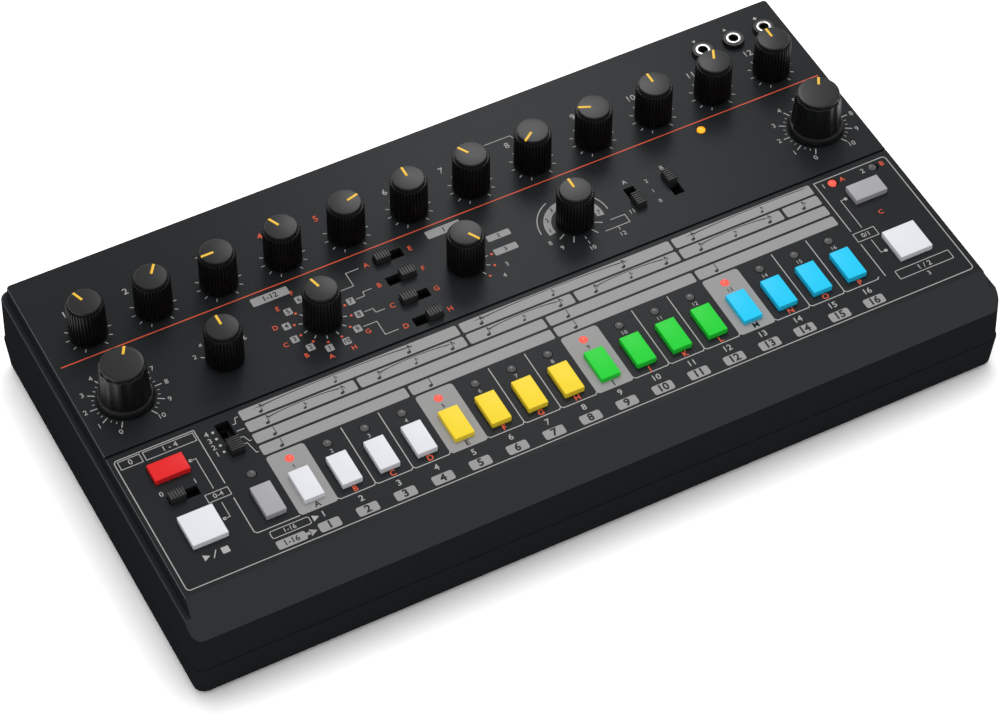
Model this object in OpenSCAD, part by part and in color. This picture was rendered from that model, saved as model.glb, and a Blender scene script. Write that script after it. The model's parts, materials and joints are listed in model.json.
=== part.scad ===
// Desktop drum machine: two moulded case halves, a raised deck with knobs, slide switches,
// push buttons and lamps, and the boards, controls and sockets that it holds inside.
// X runs left to right, Y front to back, Z up. The feet stand on Z = 0.

/* [Case] */
// Width of the case at its parting line
case_w = 305; // [304:1:330]
// Depth of the case at its parting line
case_d = 161.5; // [160:0.5:185]
// Height of the deck above the case's underside
case_h = 40.3; // [38:0.1:48]
// Height of the bottom case up to the parting line
lower_h = 13.8; // [11:0.1:16]
// Wall of both case halves
wall = 2.5; // [2:0.1:3]
// Floor of the bottom case
floor_t = 2.5; // [2:0.1:4]
// Radius of the upright corners
corner_r = 4; // [3:0.1:6]
// How far each side of the bottom case draws in towards the floor
lower_draft = 0.8; // [0.2:0.1:1.4]
// How far each side of the top case draws in towards the ledge
upper_draft = 0.9; // [0.2:0.1:1.4]
// Bevel round the underside
base_bevel = 1.2; // [0.6:0.1:2]
// Bright line at the parting: how far the bottom case stands proud
parting_step = 0.3; // [0.1:0.05:0.5]
// Height of the bottom case's locating lip
lip_h = 2; // [1:0.1:3]
// Thickness of the lip
lip_t = 1.4; // [1:0.1:1.6]
// Gap round the lip
lip_gap = 0.15; // [0.05:0.05:0.3]
// Inner radius of the case's upright corners
inner_r = 2; // [1.5:0.1:2.5]

/* [Deck] */
// Ledge beside the deck, left and right
side_ledge = 3.5; // [3:0.1:5]
// Ledge behind the deck
back_ledge = 3.5; // [3:0.1:5]
// Height of the deck above the ledge
deck_step = 5.2; // [3:0.1:7]
// How far the deck's walls spread towards the ledge
deck_flare = 0.6; // [0.1:0.1:1]
// Thickness of the deck
deck_t = 2.5; // [2:0.1:3.5]
// Small bevel round the deck and the ledge
edge_bevel = 0.4; // [0.2:0.1:0.6]
// Forward run of the sloping fascia
fascia_run = 10; // [7:0.5:12]
// Drop of the sloping fascia
fascia_drop = 11.4; // [8:0.1:14]
// Rows of controls share the deck's depth; first from its back edge to the level knobs
back_to_levels = 32.3; // [30:0.1:34]
// From the level knobs to the selector knobs
levels_to_selectors = 31.1; // [29:0.1:33]
// From the selector knobs to the dividing groove
selectors_to_groove = 20.4; // [19.6:0.1:22]
// From the groove to the short side buttons
groove_to_short = 14; // [13:0.1:15]
// From the short side buttons to the step buttons
short_to_steps = 26.7; // [25.5:0.1:28]
// From the step buttons to the fascia
steps_to_front = 22.6; // [21:0.1:24]
// Width of the groove
groove_w = 1; // [0.6:0.1:1.4]
// Depth of the groove
groove_d = 0.8; // [0.3:0.1:1.2]

/* [Knobs] */
// Columns share the deck's width; from its side to the first knob
side_to_knobs = 16.56; // [15.5:0.02:18]
// Distance between neighbouring level knobs
knob_pitch = 24.08; // [23:0.02:25]
// Radius of a small knob over its ribs
knob_r = 6.65; // [6:0.05:7]
// Number of ribs round a small knob
knob_ribs = 36; // [24:1:40]
// Depth of the grooves between the ribs
rib_depth = 0.4; // [0.2:0.05:0.6]
// Height of a small knob's ribbed body
knob_body_h = 14.7; // [12:0.1:18]
// Radius of the smooth cap on a small knob
knob_cap_r = 5.3; // [4.6:0.1:5.6]
// Height of the cap above the ribbed body
knob_cap_h = 1.3; // [0.8:0.1:2]
// Depth of the ring-shaped recess round the cap
knob_recess = 0.8; // [0.4:0.1:1.2]
// Gap between a knob and the deck
knob_gap = 0.6; // [0.4:0.1:1]
// Radius of the skirt of a large knob
skirt_r = 10; // [9:0.1:10.6]
// Height of the skirt of a large knob
skirt_h = 2.5; // [1.5:0.1:3.5]
// Radius of a large knob's body above the skirt
grip_low_r = 8.85; // [8.5:0.05:8.9]
// Radius of a large knob's body at its upper end
grip_top_r = 7.9; // [7.6:0.1:8.2]
// Height of a large knob's fluted body above the skirt
grip_h = 13.2; // [10:0.1:16]
// Number of flutes round a large knob
flutes = 12; // [8:1:16]
// Depth of the flutes
flute_depth = 0.45; // [0.2:0.05:0.6]
// Radius of the top face of a large knob
crown_r = 7.4; // [6.8:0.1:7.5]
// Height of the bevelled crown of a large knob
crown_h = 1.7; // [1:0.1:2.4]
// Length of a pointer
pointer_l = 4.3; // [3:0.1:4.4]
// Width of a pointer
pointer_w = 0.9; // [0.6:0.1:1.4]
// How far a pointer stands proud
pointer_up = 0.1; // [0.05:0.05:0.3]
// Radius of the control shafts
shaft_r = 3; // [2.8:0.1:3.2]
// Running clearance of a shaft in its bush
shaft_gap = 0.08; // [0.03:0.01:0.1]

/* [Slide switches] */
// Length of a two-way or three-way slot
slot_l = 10.8; // [10:0.1:12]
// Width of a horizontal slot
slot_w = 4; // [3.6:0.1:4.4]
// Length of the four-way slot
scale_slot_l = 14.8; // [13:0.1:16]
// Width of the four-way slot
scale_slot_w = 5; // [4.4:0.1:5.4]
// Length of a slide cap along its travel
cap_l = 5.4; // [4.8:0.1:6]
// Gap between a slide cap and its slot
cap_gap = 0.15; // [0.05:0.05:0.3]
// Gap left at the end of a cap's travel
cap_end = 0.4; // [0.2:0.1:0.8]
// Height of a slide cap above the deck
cap_up = 2.8; // [2:0.1:4]
// Distance of the voice switches from the centre line
voice_x = 28.1; // [27:0.1:29]
// Distance between neighbouring voice switches
voice_pitch = 10.2; // [9.9:0.05:10.4]
// Distance of the fade-in switch from the centre line
fade_in_x = 60; // [58:0.1:61]
// Distance of the fade-out switch from the centre line
fade_out_x = 74.7; // [73:0.1:77]
// How far the auto switch lies in front of the short side buttons
short_to_auto = 11.7; // [11:0.1:12.2]
// How far the scale switch lies behind the short side buttons
scale_to_short = 2.7; // [2:0.1:3.2]

/* [Push buttons] */
// From the left knob column to the first push button of the long row
side_to_steps = 23.2; // [22.6:0.1:24]
// Distance between neighbouring step buttons
step_pitch = 13.63; // [13.4:0.01:13.9]
// From the last step button to the right knob column
steps_to_side = 23.6; // [22.6:0.1:24.4]
// Width of a step button
step_w = 7.2; // [6:0.1:8]
// Length of the step buttons
button_l = 13; // [11:0.1:14]
// Width of the four side buttons
side_w = 12.5; // [11:0.1:14]
// Length of the two short side buttons
short_l = 7.5; // [6.5:0.1:8.5]
// Height of the buttons above the deck
button_up = 2; // [1.4:0.1:3]
// Gap between a button and its hole
button_gap = 0.25; // [0.1:0.05:0.4]
// Travel of a button
button_travel = 0.8; // [0.4:0.1:1.2]
// Width of the flange that keeps a button in
button_lip = 0.6; // [0.4:0.1:1]
// Thickness of that flange
button_lip_t = 1; // [0.8:0.1:1.4]
// Radius of a button's plunger
plunger_r = 1.6; // [1.3:0.1:1.8]

/* [Lamps] */
// Radius of a lamp
lamp_r = 1.5; // [1.3:0.05:1.6]
// Gap between a lamp and its hole
lamp_gap = 0.25; // [0.1:0.05:0.35]
// Height of a lamp above the deck
lamp_up = 0.6; // [0.3:0.1:1.2]
// How far the step lamps lie behind the step buttons
lamps_to_steps = 12.8; // [12.2:0.1:13.4]
// How far the pattern lamps lie behind the pattern button
lamps_to_pattern = 8.6; // [8.2:0.1:9.2]
// Distance of each pattern lamp from the pattern button's centre
pattern_lamp_x = 8.2; // [7.5:0.1:9]
// Distance of the power lamp from the centre line
power_lamp_x = 96.1; // [95:0.1:98]
// Distance of the power lamp from the deck's back edge
power_lamp_y = 45.8; // [45:0.1:47]

/* [Jacks on the deck] */
// Distance of the last jack from the deck's right edge
jack_edge = 8.5; // [8:0.1:10]
// Distance between neighbouring jacks
jack_pitch = 12.6; // [12:0.1:13]
// Distance of the jacks from the deck's back edge
jack_y = 13.4; // [13:0.1:14]
// Radius of the bore of a jack
jack_bore_r = 1.8; // [1.75:0.01:1.9]
// Depth of the bore below the bright ring
jack_bore_h = 14.5; // [13:0.1:16]
// Radius of the bright ring
jack_ring_r = 2.75; // [2.5:0.05:2.95]
// Radius of the black collar at the deck
collar_r = 4.1; // [3.8:0.1:4.5]
// Height of the black collar
collar_h = 1.9; // [1.4:0.1:2.6]
// Radius of a jack's threaded neck
neck_r = 3; // [2.95:0.05:3.2]
// Width of a jack's body
jack_body_w = 8.5; // [8:0.1:9]
// Depth of a jack's body under the deck
jack_body_h = 13.6; // [13.4:0.1:15]

/* [Inside] */
// Space between the deck and the circuit boards
board_drop = 6.8; // [6.4:0.1:7.4]
// Thickness of the circuit boards
board_t = 1.6; // [1.2:0.1:2]
// Width of a control's body
pot_w = 9.7; // [9:0.1:11]
// Radius of a control's bush
bush_r = 3.5; // [3.4:0.05:3.8]
// Width of a tactile switch
tact_w = 6; // [5:0.1:7]
// Height of a tactile switch
tact_h = 3.5; // [3:0.1:4]
// Width of a slide switch's body
slider_w = 6.6; // [6:0.1:7]
// Height of a slide switch's body
slider_h = 5; // [4.5:0.1:5.6]
// Radius of the case posts
post_r = 3.2; // [3:0.1:3.6]
// Radius of the board standoffs
standoff_r = 2.5; // [2.2:0.1:2.8]
// Radius of the case screws
screw_r = 1.5; // [1.2:0.1:1.8]
// Radius of the board screws
board_screw_r = 1; // [0.8:0.05:1.2]
// Gap between the case posts and the case wall
post_gap = 0.4; // [0.2:0.1:1]
// Distance of the corner posts from the case's front and back
post_inset = 8; // [7.6:0.1:9]
// Height of the case screws' seats above the underside
seat_h = 6; // [5:0.5:8]
// How far the case screws reach into the top case's posts
screw_grip = 10; // [7:0.5:12]
// How far the board screws reach into the standoffs
board_screw_grip = 3.9; // [3:0.1:4.5]
// Gap between a board and the case
board_gap = 1; // [0.6:0.1:1.4]

/* [Sockets at the back] */
// Height of the sockets' centres below the upper circuit board
socket_drop = 5.6; // [5.6:0.1:7]
// Radius of the power inlet's bore
inlet_r = 2.9; // [2.75:0.05:3.2]
// Radius of the round recess of a five-pin socket
din_r = 7.4; // [7:0.1:7.8]
// Width of a five-pin socket
din_w = 19; // [18:0.1:20]
// Bore radius of the output socket
output_r = 3.25; // [3.2:0.01:3.4]
// Depth of the output socket
output_l = 26; // [24:0.5:30]
// Travel of the power button
power_travel = 2; // [1:0.1:3]

/* [Feet] */
// Radius of the rubber feet
foot_r = 6; // [5:0.5:8]
// Height of the rubber feet
foot_h = 1.2; // [0.8:0.1:3]
// Distance of the feet from the case's sides
foot_side = 22; // [16:1:40]
// Distance of the feet from the case's front and back
foot_end = 20; // [14:1:30]

/* [Hidden] */
$fn = 48;
eps = 0.02;
deck_z = foot_h + case_h;
under_z = deck_z - deck_t;
part_z = foot_h + lower_h;
ledge_z = deck_z - deck_step;
board_z = under_z - board_drop;
board_low = board_z - board_t;
back_y = case_d / 2 - back_ledge;
deck_w = case_w - 2 * side_ledge;
front_y = -case_d / 2 + upper_draft + fascia_run;
top_in_w = case_w - 2 * (upper_draft + wall);
top_in_d = case_d - 2 * (upper_draft + wall);
low_in_w = case_w - 2 * wall;
low_in_d = case_d - 2 * wall;
deck_r = 1.2;
board_w = case_w - 2 * (wall + upper_draft + 2 * post_r + post_gap + board_gap);
board_front_gap = 5.5;
screw_gap = 0.1;
head_r = 1.9 * screw_r;
head_h = 2;
head_gap = 0.3;
socket_share = 0.8;
seat_z = foot_h + seat_h;
screw_top = part_z + screw_grip;
low_post_r = head_r + 1.4;
board_head_h = 1.2;
post_x = case_w / 2 - wall - upper_draft - post_r - post_gap;
post_y = [case_d / 2 - post_inset, 0, -case_d / 2 + post_inset];
cavity_back = top_in_d / 2;
socket_z = board_low - socket_drop;
big_top = skirt_h + grip_h + crown_h;
grip_tilt = atan((grip_low_r - grip_top_r) / grip_h);
grip_flute_r = 2.6;
pointer_in = 0.3;
cap_ring_gap = 0.45;
shaft_seat = 1.4;
shaft_hold = 1;
pot_floor = 1;
bush_gap = 0.1;
bush_up = 0.2;
cap_ribs = 5;
cap_rib_h = 0.4;
cap_stem_l = 2.4;
cap_stem_w = 1.8;
stem_gap = 0.25;
stem_reach = 2.2;
slider_end = 1;
slider_track_h = 2.5;
led_base_r = 2.2;
led_base_gap = 1.2;
tact_floor = 0.5;
plunger_gap = 0.15;
plunger_play = 0.3;
neck_gap = 0.1;
jack_ring_up = 0.15;
collar_draft = 0.35;

// Rows, measured from the deck's back edge before they are fitted to its depth
selector_row = back_to_levels + levels_to_selectors;
groove_row = selector_row + selectors_to_groove;
short_row = groove_row + groove_to_short;
step_row = short_row + short_to_steps;
row_fit = (back_y - front_y) / (step_row + steps_to_front);
last_col = 11;
col_fit = deck_w / (2 * side_to_knobs + last_col * knob_pitch);
last_step = 16;
step_fit = last_col * knob_pitch * col_fit / (side_to_steps + last_step * step_pitch + steps_to_side);

// Knob columns are counted from the left level knob, steps from the function button
function fit_x(x) = x * col_fit;
function col_x(c) = fit_x((c - last_col / 2) * knob_pitch);
function row_y(d) = back_y - d * row_fit;
function step_x(k) = col_x(0) + (side_to_steps + k * step_pitch) * step_fit;

selector_cols = [1.5, 3, 5.25, 7];
turned = [20, -35, 90, 25, -75, 0, 30, 125, 65, 0, -25, 0];
selector_turned = [0, 15, -150, 0];
big_turned = [-30, -30];
big_cols = [0, last_col];
// Each slide switch: place, turn about Z, slot length, slot width, and where its cap stands
voice_sides = [-1, 1, -1, 1];
voice_rows = [for (i = [0:3]) selector_row + (i - 1.5) * voice_pitch];
voice_spots = [for (i = [0:3]) [-fit_x(voice_x), row_y(voice_rows[i]), 0, slot_l, slot_w, voice_sides[i]]];
slide_spots = concat(voice_spots, [
    [fit_x(fade_in_x), row_y(selector_row), 90, slot_l, slot_w, -1],
    [fit_x(fade_out_x), row_y(selector_row), 90, slot_l, slot_w, 1],
    [col_x(0), row_y(short_row + short_to_auto), 0, slot_l, slot_w, -1],
    [step_x(0), row_y(short_row - scale_to_short), 90, scale_slot_l, scale_slot_w, -1]]);
// Each push button: place, width, length
button_spots = concat(
    [for (k = [0:last_step]) [step_x(k), row_y(step_row), step_w, button_l]],
    [for (c = big_cols) for (side = [[short_row, short_l], [step_row, button_l]])
        [col_x(c), row_y(side[0]), side_w, side[1]]]);
lamp_spots = concat(
    [for (k = [0:last_step]) [step_x(k), row_y(step_row - lamps_to_steps)]],
    [for (x = [-pattern_lamp_x, pattern_lamp_x]) [col_x(last_col) + x, row_y(short_row - lamps_to_pattern)]],
    [[fit_x(power_lamp_x), row_y(power_lamp_y)]]);
knob_spots = concat(
    [for (i = [0:last_col]) [col_x(i), row_y(back_to_levels)]],
    [for (c = selector_cols) [col_x(c), row_y(selector_row)]],
    [for (c = big_cols) [col_x(c), row_y(selector_row)]]);
jack_spots = [for (i = [2:-1:0]) [deck_w / 2 - jack_edge - i * jack_pitch, back_y - jack_y]];
// Board standoffs: the upper board's lie between the knobs, the lower board's between the buttons
standoff_rows = [back_to_levels - 22.3, back_to_levels + levels_to_selectors / 2];
upper_standoffs = [for (p = [[0.5, 0], [5.5, 0], [9, 0], [0.5, 1], [5.5, 1], [10.5, 1]])
    [col_x(p[0]), row_y(standoff_rows[p[1]])]];
lower_rows = [short_row + 3.2, step_row + button_l / 2 + 7.5];
lower_standoffs = [for (k = [2, 8, 14]) for (d = lower_rows) [step_x(k), row_y(d)]];
standoffs = concat(upper_standoffs, lower_standoffs);
upper_board_y = [row_y(groove_row) + board_gap, cavity_back - board_gap];
lower_board_y = [front_y + board_front_gap, row_y(groove_row) - board_gap];
usb_w = 12;
usb_h = 10.8;
usb_l = 16;
usb_mouth_w = 8.5;
usb_mouth_h = 7.8;
usb_depth = 9;
usb_tongue_w = 5.6;
usb_tongue_h = 3.2;
inlet_w = 9;
inlet_h = 10.8;
inlet_l = 14;
inlet_depth = 9.5;
inlet_pin_r = 1;
din_l = 14;
din_depth = 7;
din_pin_r = 0.8;
din_pin_l = 4;
din_pins_r = 4.4;
output_w = 13;
output_nut_r = 5.6;
output_nut_h = 2;
output_neck_r = 4.5;
power_w = 5.6;
power_gap = 0.25;
power_out = 3;
plug_gap = 0.5;
contact_gap = 0.5;
nut_gap = 0.1;
power_stem_r = 1.4;
power_stem_l = 7;
power_stem_gap = 0.2;
output_body_in = 4;
power_body_w = 8;
power_body_l = 12;
// Sockets at the back: the power button stands beside the first jack's body, the others follow it
power_to_jack = 2.55;
inlet_to_power = 11.5;
usb_to_inlet = 25;
din_pitch = 24;
power_x = jack_spots[0][0] - jack_body_w / 2 - power_to_jack - power_body_w / 2;
inlet_x = power_x - inlet_to_power;
usb_x = inlet_x - usb_to_inlet;
din_xs = [usb_x - 2 * din_pitch, usb_x - din_pitch];
output_x = fit_x(-30);
sock_y = cavity_back;
wall_out = case_d / 2 - parting_step;
tail = power_out - parting_step;

// The origin is the middle of the footprint, which reaches back as far as the power button
module placed() {
    translate([0, -tail / 2, 0]) children();
}

// Rectangle w by d with round corners, h high
module slab(w, d, r, h) {
    linear_extrude(h) plan(w, d, r);
}

module plan(w, d, r) {
    union() {
        square([w - 2 * r, d], center = true);
        square([w, d - 2 * r], center = true);
        for (x = [-1, 1]) for (y = [-1, 1])
            translate([x * (w / 2 - r), y * (d / 2 - r)]) circle(r);
    }
}

// Thin layer of a drafted wall: everything drawn in by d on each side
module layer(z, d, w = case_w, l = case_d, r = corner_r) {
    translate([0, 0, z]) linear_extrude(eps) plan(w - 2 * d, l - 2 * d, r);
}

// Everything in front of and above the fascia's plane, moved in by the given depth
module fascia_side(depth) {
    slope = atan(fascia_drop / fascia_run);
    translate([0, front_y, deck_z]) rotate([slope, 0, 0])
        translate([-case_w, -case_d, -depth]) cube([2 * case_w, 1.6 * case_d, case_d]);
}

module top_skirt() {
    hull() {
        layer(part_z, parting_step);
        layer(ledge_z - edge_bevel, upper_draft);
        layer(ledge_z - eps, upper_draft + edge_bevel);
    }
}

module deck_block() {
    shift = (side_ledge - back_ledge) / 2;
    long = back_y - front_y + fascia_run;
    mid = back_y - long / 2;
    hull() {
        translate([0, mid, 0]) layer(ledge_z - wall, -deck_flare, deck_w, long, deck_r);
        translate([0, mid, 0]) layer(deck_z - edge_bevel, 0, deck_w, long, deck_r);
        translate([0, mid, 0]) layer(deck_z - eps, edge_bevel / 2, deck_w, long, deck_r);
    }
}

module top_cavity() {
    low_h = ledge_z - wall - part_z;
    difference() {
        union() {
            translate([0, 0, part_z - 1]) slab(top_in_w, top_in_d, inner_r, low_h + 1);
            translate([0, (back_y - wall + front_y - fascia_run) / 2, part_z])
                slab(deck_w - 2 * wall, back_y - wall - front_y + fascia_run, inner_r / 2, under_z - part_z);
        }
        fascia_side(wall);
        for (x = [-1, 1]) for (y = post_y)
            translate([x * post_x, y, part_z - 2]) cylinder(r = post_r, h = case_h);
        for (p = standoffs)
            translate([p[0], p[1], board_z]) cylinder(r = standoff_r, h = board_drop + 1);
    }
}

module top_case() {
    color([0.15, 0.16, 0.165])
    difference() {
        union() {
            top_skirt();
            deck_block();
        }
        fascia_side(0);
        top_cavity();
        lip_space();
        deck_groove();
        deck_holes();
        back_holes();
        screw_pilots();
    }
}

module lip_space() {
    w = low_in_w + lip_t + 2 * lip_gap;
    d = low_in_d + lip_t + 2 * lip_gap;
    translate([0, 0, part_z - 1]) slab(w, d, inner_r + lip_t / 2, lip_h + lip_gap + 1);
}

module deck_groove() {
    translate([-case_w / 2, row_y(groove_row) - groove_w / 2, deck_z - groove_d])
        cube([case_w, groove_w, 2 * groove_d]);
}

module deck_holes() {
    for (p = knob_spots)
        translate([p[0], p[1], under_z - 1]) cylinder(r = bush_r + bush_gap, h = deck_t + 2);
    for (p = jack_spots)
        translate([p[0], p[1], under_z - 1]) cylinder(r = neck_r + neck_gap, h = deck_t + 2);
    for (p = lamp_spots)
        translate([p[0], p[1], under_z - 1]) cylinder(r = lamp_r + lamp_gap, h = deck_t + 2);
    for (p = button_spots)
        translate([p[0], p[1], deck_z])
            cube([p[2] + 2 * button_gap, p[3] + 2 * button_gap, 3 * deck_t], true);
    for (s = slide_spots)
        translate([s[0], s[1], deck_z]) rotate(s[2]) cube([s[3], s[4], 3 * deck_t], true);
}

module back_holes() {
    depth = 4 * wall;
    translate([output_x, sock_y - 1, socket_z]) rotate([-90, 0, 0])
        cylinder(r = output_neck_r + nut_gap, h = depth);
    for (x = din_xs)
        translate([x, sock_y - 1, din_z()]) rotate([-90, 0, 0]) cylinder(r = din_r, h = depth);
    translate([inlet_x, sock_y - 1, socket_z]) rotate([-90, 0, 0])
        cylinder(r = inlet_r + 2 * plug_gap, h = depth);
    translate([usb_x, sock_y, socket_z])
        cube([usb_mouth_w + 2 * plug_gap, depth, usb_mouth_h + 2 * plug_gap], true);
    translate([power_x, sock_y, socket_z])
        cube([power_w + 2 * power_gap, depth, power_w + 2 * power_gap], true);
}

function din_z() = board_low - din_w / 2;

module screw_pilots() {
    for (x = [-1, 1]) for (y = post_y)
        translate([x * post_x, y, part_z - 1]) cylinder(r = screw_r + screw_gap, h = screw_top - part_z + 2);
    for (p = standoffs)
        translate([p[0], p[1], board_z - 1])
            cylinder(r = board_screw_r + screw_gap, h = board_screw_grip + 2.1);
}

module bottom_case() {
    color([0.11, 0.115, 0.12])
    difference() {
        union() {
            difference() {
                hull() {
                    layer(foot_h, lower_draft + base_bevel);
                    layer(foot_h + base_bevel, lower_draft);
                    layer(part_z - eps, 0);
                }
                translate([0, 0, foot_h + floor_t]) slab(low_in_w, low_in_d, inner_r, lower_h);
            }
            difference() {
                translate([0, 0, part_z - 2])
                    slab(low_in_w + lip_t, low_in_d + lip_t, inner_r + lip_t / 2, lip_h + 2);
                translate([0, 0, part_z - 3]) slab(low_in_w - lip_t, low_in_d - lip_t, inner_r, lip_h + 4);
            }
            for (x = [-1, 1]) for (y = post_y)
                translate([x * post_x, y, foot_h + 0.5]) cylinder(r = low_post_r, h = lower_h - 0.5);
        }
        for (x = [-1, 1]) for (y = post_y) {
            translate([x * post_x, y, foot_h - 1]) cylinder(r = head_r + head_gap, h = seat_z - foot_h + 1);
            translate([x * post_x, y, foot_h]) cylinder(r = screw_r + 2 * screw_gap, h = lower_h + 1);
        }
    }
}

module board(y0, y1) {
    difference() {
        translate([-board_w / 2, y0, board_low]) cube([board_w, y1 - y0, board_t]);
        for (p = standoffs)
            translate([p[0], p[1], board_low - 1])
                cylinder(r = board_screw_r + 2 * screw_gap, h = board_t + 2);
        for (p = jack_spots)
            translate([p[0], p[1], board_low])
                cube([jack_body_w + 6 * neck_gap, jack_body_w + 6 * neck_gap, 4 * board_t], true);
    }
}

module upper_circuit_board() {
    color([0.06, 0.32, 0.16]) board(upper_board_y[0], upper_board_y[1]);
}

module lower_circuit_board() {
    color([0.06, 0.32, 0.16]) board(lower_board_y[0], lower_board_y[1]);
}

module pot_bodies() {
    color([0.35, 0.36, 0.38])
    for (p = knob_spots) translate([p[0], p[1], 0])
        difference() {
            union() {
                translate([-pot_w / 2, -pot_w / 2, board_z]) cube([pot_w, pot_w, board_drop]);
                translate([0, 0, board_z + pot_floor])
                    cylinder(r = bush_r, h = deck_z + bush_up - board_z - pot_floor);
            }
            translate([0, 0, board_z + pot_floor]) cylinder(r = shaft_r + shaft_gap, h = case_h);
        }
}

module slide_switch_bodies() {
    color([0.5, 0.51, 0.52])
    for (s = slide_spots) translate([s[0], s[1], board_z]) rotate(s[2])
        difference() {
            translate([-s[3] / 2 - slider_end, -slider_w / 2, 0])
                cube([s[3] + 2 * slider_end, slider_w, slider_h]);
            translate([-s[3] / 2 + slider_end, -cap_stem_w / 2 - stem_gap, slider_h - slider_track_h])
                cube([s[3] - 2 * slider_end, cap_stem_w + 2 * stem_gap, slider_track_h + 1]);
        }
}

module tact_switches() {
    color([0.1, 0.1, 0.1])
    for (p = button_spots) translate([p[0], p[1], board_z])
        difference() {
            translate([-tact_w / 2, -tact_w / 2, 0]) cube([tact_w, tact_w, tact_h]);
            translate([0, 0, tact_floor]) cylinder(r = plunger_r + plunger_gap, h = tact_h);
        }
}

module indicator_lamps() {
    body = under_z - board_z;
    color([0.55, 0.55, 0.55])
    for (p = lamp_spots) translate([p[0], p[1], board_z])
        rotate_extrude()
            union() {
                square([led_base_r, body - led_base_gap]);
                square([lamp_r, body + deck_t + lamp_up - 0.5]);
                intersection() {
                    translate([0, body + deck_t + lamp_up - lamp_r]) circle(lamp_r);
                    square([lamp_r, body + deck_t + lamp_up]);
                }
            }
}

module top_jacks() {
    ring_h = collar_h + jack_ring_up;
    color([0.2, 0.2, 0.21])
    for (p = jack_spots) translate([p[0], p[1], deck_z])
        difference() {
            union() {
                translate([-jack_body_w / 2, -jack_body_w / 2, -deck_t - jack_body_h])
                    cube([jack_body_w, jack_body_w, jack_body_h]);
                translate([0, 0, -deck_t - 1]) cylinder(r = neck_r, h = deck_t + 2);
                cylinder(r1 = collar_r, r2 = collar_r - collar_draft, h = collar_h);
                cylinder(r = jack_ring_r, h = ring_h);
            }
            translate([0, 0, ring_h - jack_bore_h]) cylinder(r = jack_bore_r, h = jack_bore_h + 1);
        }
}

module rear_sockets() {
    color([0.12, 0.12, 0.13]) {
        output_socket();
        for (x = din_xs) din_socket(x);
        usb_socket();
        power_inlet();
        power_switch_body();
    }
}

module output_socket() {
    top = board_low - socket_z;
    translate([output_x, sock_y, socket_z])
        difference() {
            union() {
                translate([-output_w / 2, -output_l + output_body_in, top - output_w])
                    cube([output_w, output_l - output_body_in, output_w]);
                rotate([-90, 0, 0]) cylinder(r = output_neck_r, h = wall_out + output_nut_h - sock_y);
                translate([0, wall_out - sock_y, 0]) rotate([-90, 0, 0])
                    cylinder(r = output_nut_r, h = output_nut_h);
            }
            translate([0, wall_out + output_nut_h - sock_y + 1, 0]) rotate([90, 0, 0])
                cylinder(r = output_r, h = output_l + 1);
        }
}

module din_socket(x) {
    translate([x, sock_y, din_z()])
        difference() {
            translate([-din_w / 2, -din_l, -din_w / 2]) cube([din_w, din_l, din_w]);
            translate([0, 1, 0]) rotate([90, 0, 0]) cylinder(r = din_r, h = din_depth + 1);
            for (a = [-90:45:90])
                rotate([0, a + 180, 0]) translate([0, -din_depth - din_pin_l, -din_pins_r])
                    rotate([-90, 0, 0]) cylinder(r = din_pin_r, h = din_pin_l + 1, $fn = 16);
        }
}

module usb_socket() {
    top = board_low - socket_z;
    translate([usb_x, sock_y, socket_z]) {
        difference() {
            translate([-usb_w / 2, -usb_l, top - usb_h]) cube([usb_w, usb_l, usb_h]);
            translate([-usb_mouth_w / 2, -usb_depth, -usb_mouth_h / 2])
                cube([usb_mouth_w, usb_depth + 1, usb_mouth_h]);
        }
        translate([-usb_tongue_w / 2, -usb_depth - contact_gap, -usb_tongue_h / 2])
            cube([usb_tongue_w, usb_depth - 1, usb_tongue_h]);
    }
}

module power_inlet() {
    top = board_low - socket_z;
    translate([inlet_x, sock_y, socket_z]) {
        difference() {
            translate([-inlet_w / 2, -inlet_l, top - inlet_h]) cube([inlet_w, inlet_l, inlet_h]);
            translate([0, 1, 0]) rotate([90, 0, 0]) cylinder(r = inlet_r, h = inlet_depth + 1);
        }
        translate([0, -contact_gap, 0]) rotate([90, 0, 0]) cylinder(r = inlet_pin_r, h = inlet_depth);
    }
}

module power_switch_body() {
    top = board_low - socket_z;
    translate([power_x, sock_y, socket_z])
        difference() {
            translate([-power_body_w / 2, -power_body_l - power_travel - 1 - contact_gap, -power_body_w / 2])
                cube([power_body_w, power_body_l, power_body_w / 2 + top]);
            translate([0, -power_travel, 0]) rotate([90, 0, 0])
                cylinder(r = power_stem_r + power_stem_gap, h = power_body_l - 2);
        }
}

module power_button() {
    color([0.1, 0.1, 0.1])
    translate([power_x, sock_y, socket_z])
        union() {
            translate([-power_w / 2, -1, -power_w / 2])
                cube([power_w, wall_out - sock_y + power_out + 1, power_w]);
            rotate([90, 0, 0]) cylinder(r = power_stem_r, h = power_stem_l);
        }
}

module rubber_feet() {
    color([0.05, 0.05, 0.05])
    for (x = [-1, 1]) for (y = [-1, 1])
        translate([x * (case_w / 2 - foot_side), y * (case_d / 2 - foot_end), 0])
            cylinder(r = foot_r, h = foot_h);
}

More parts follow.
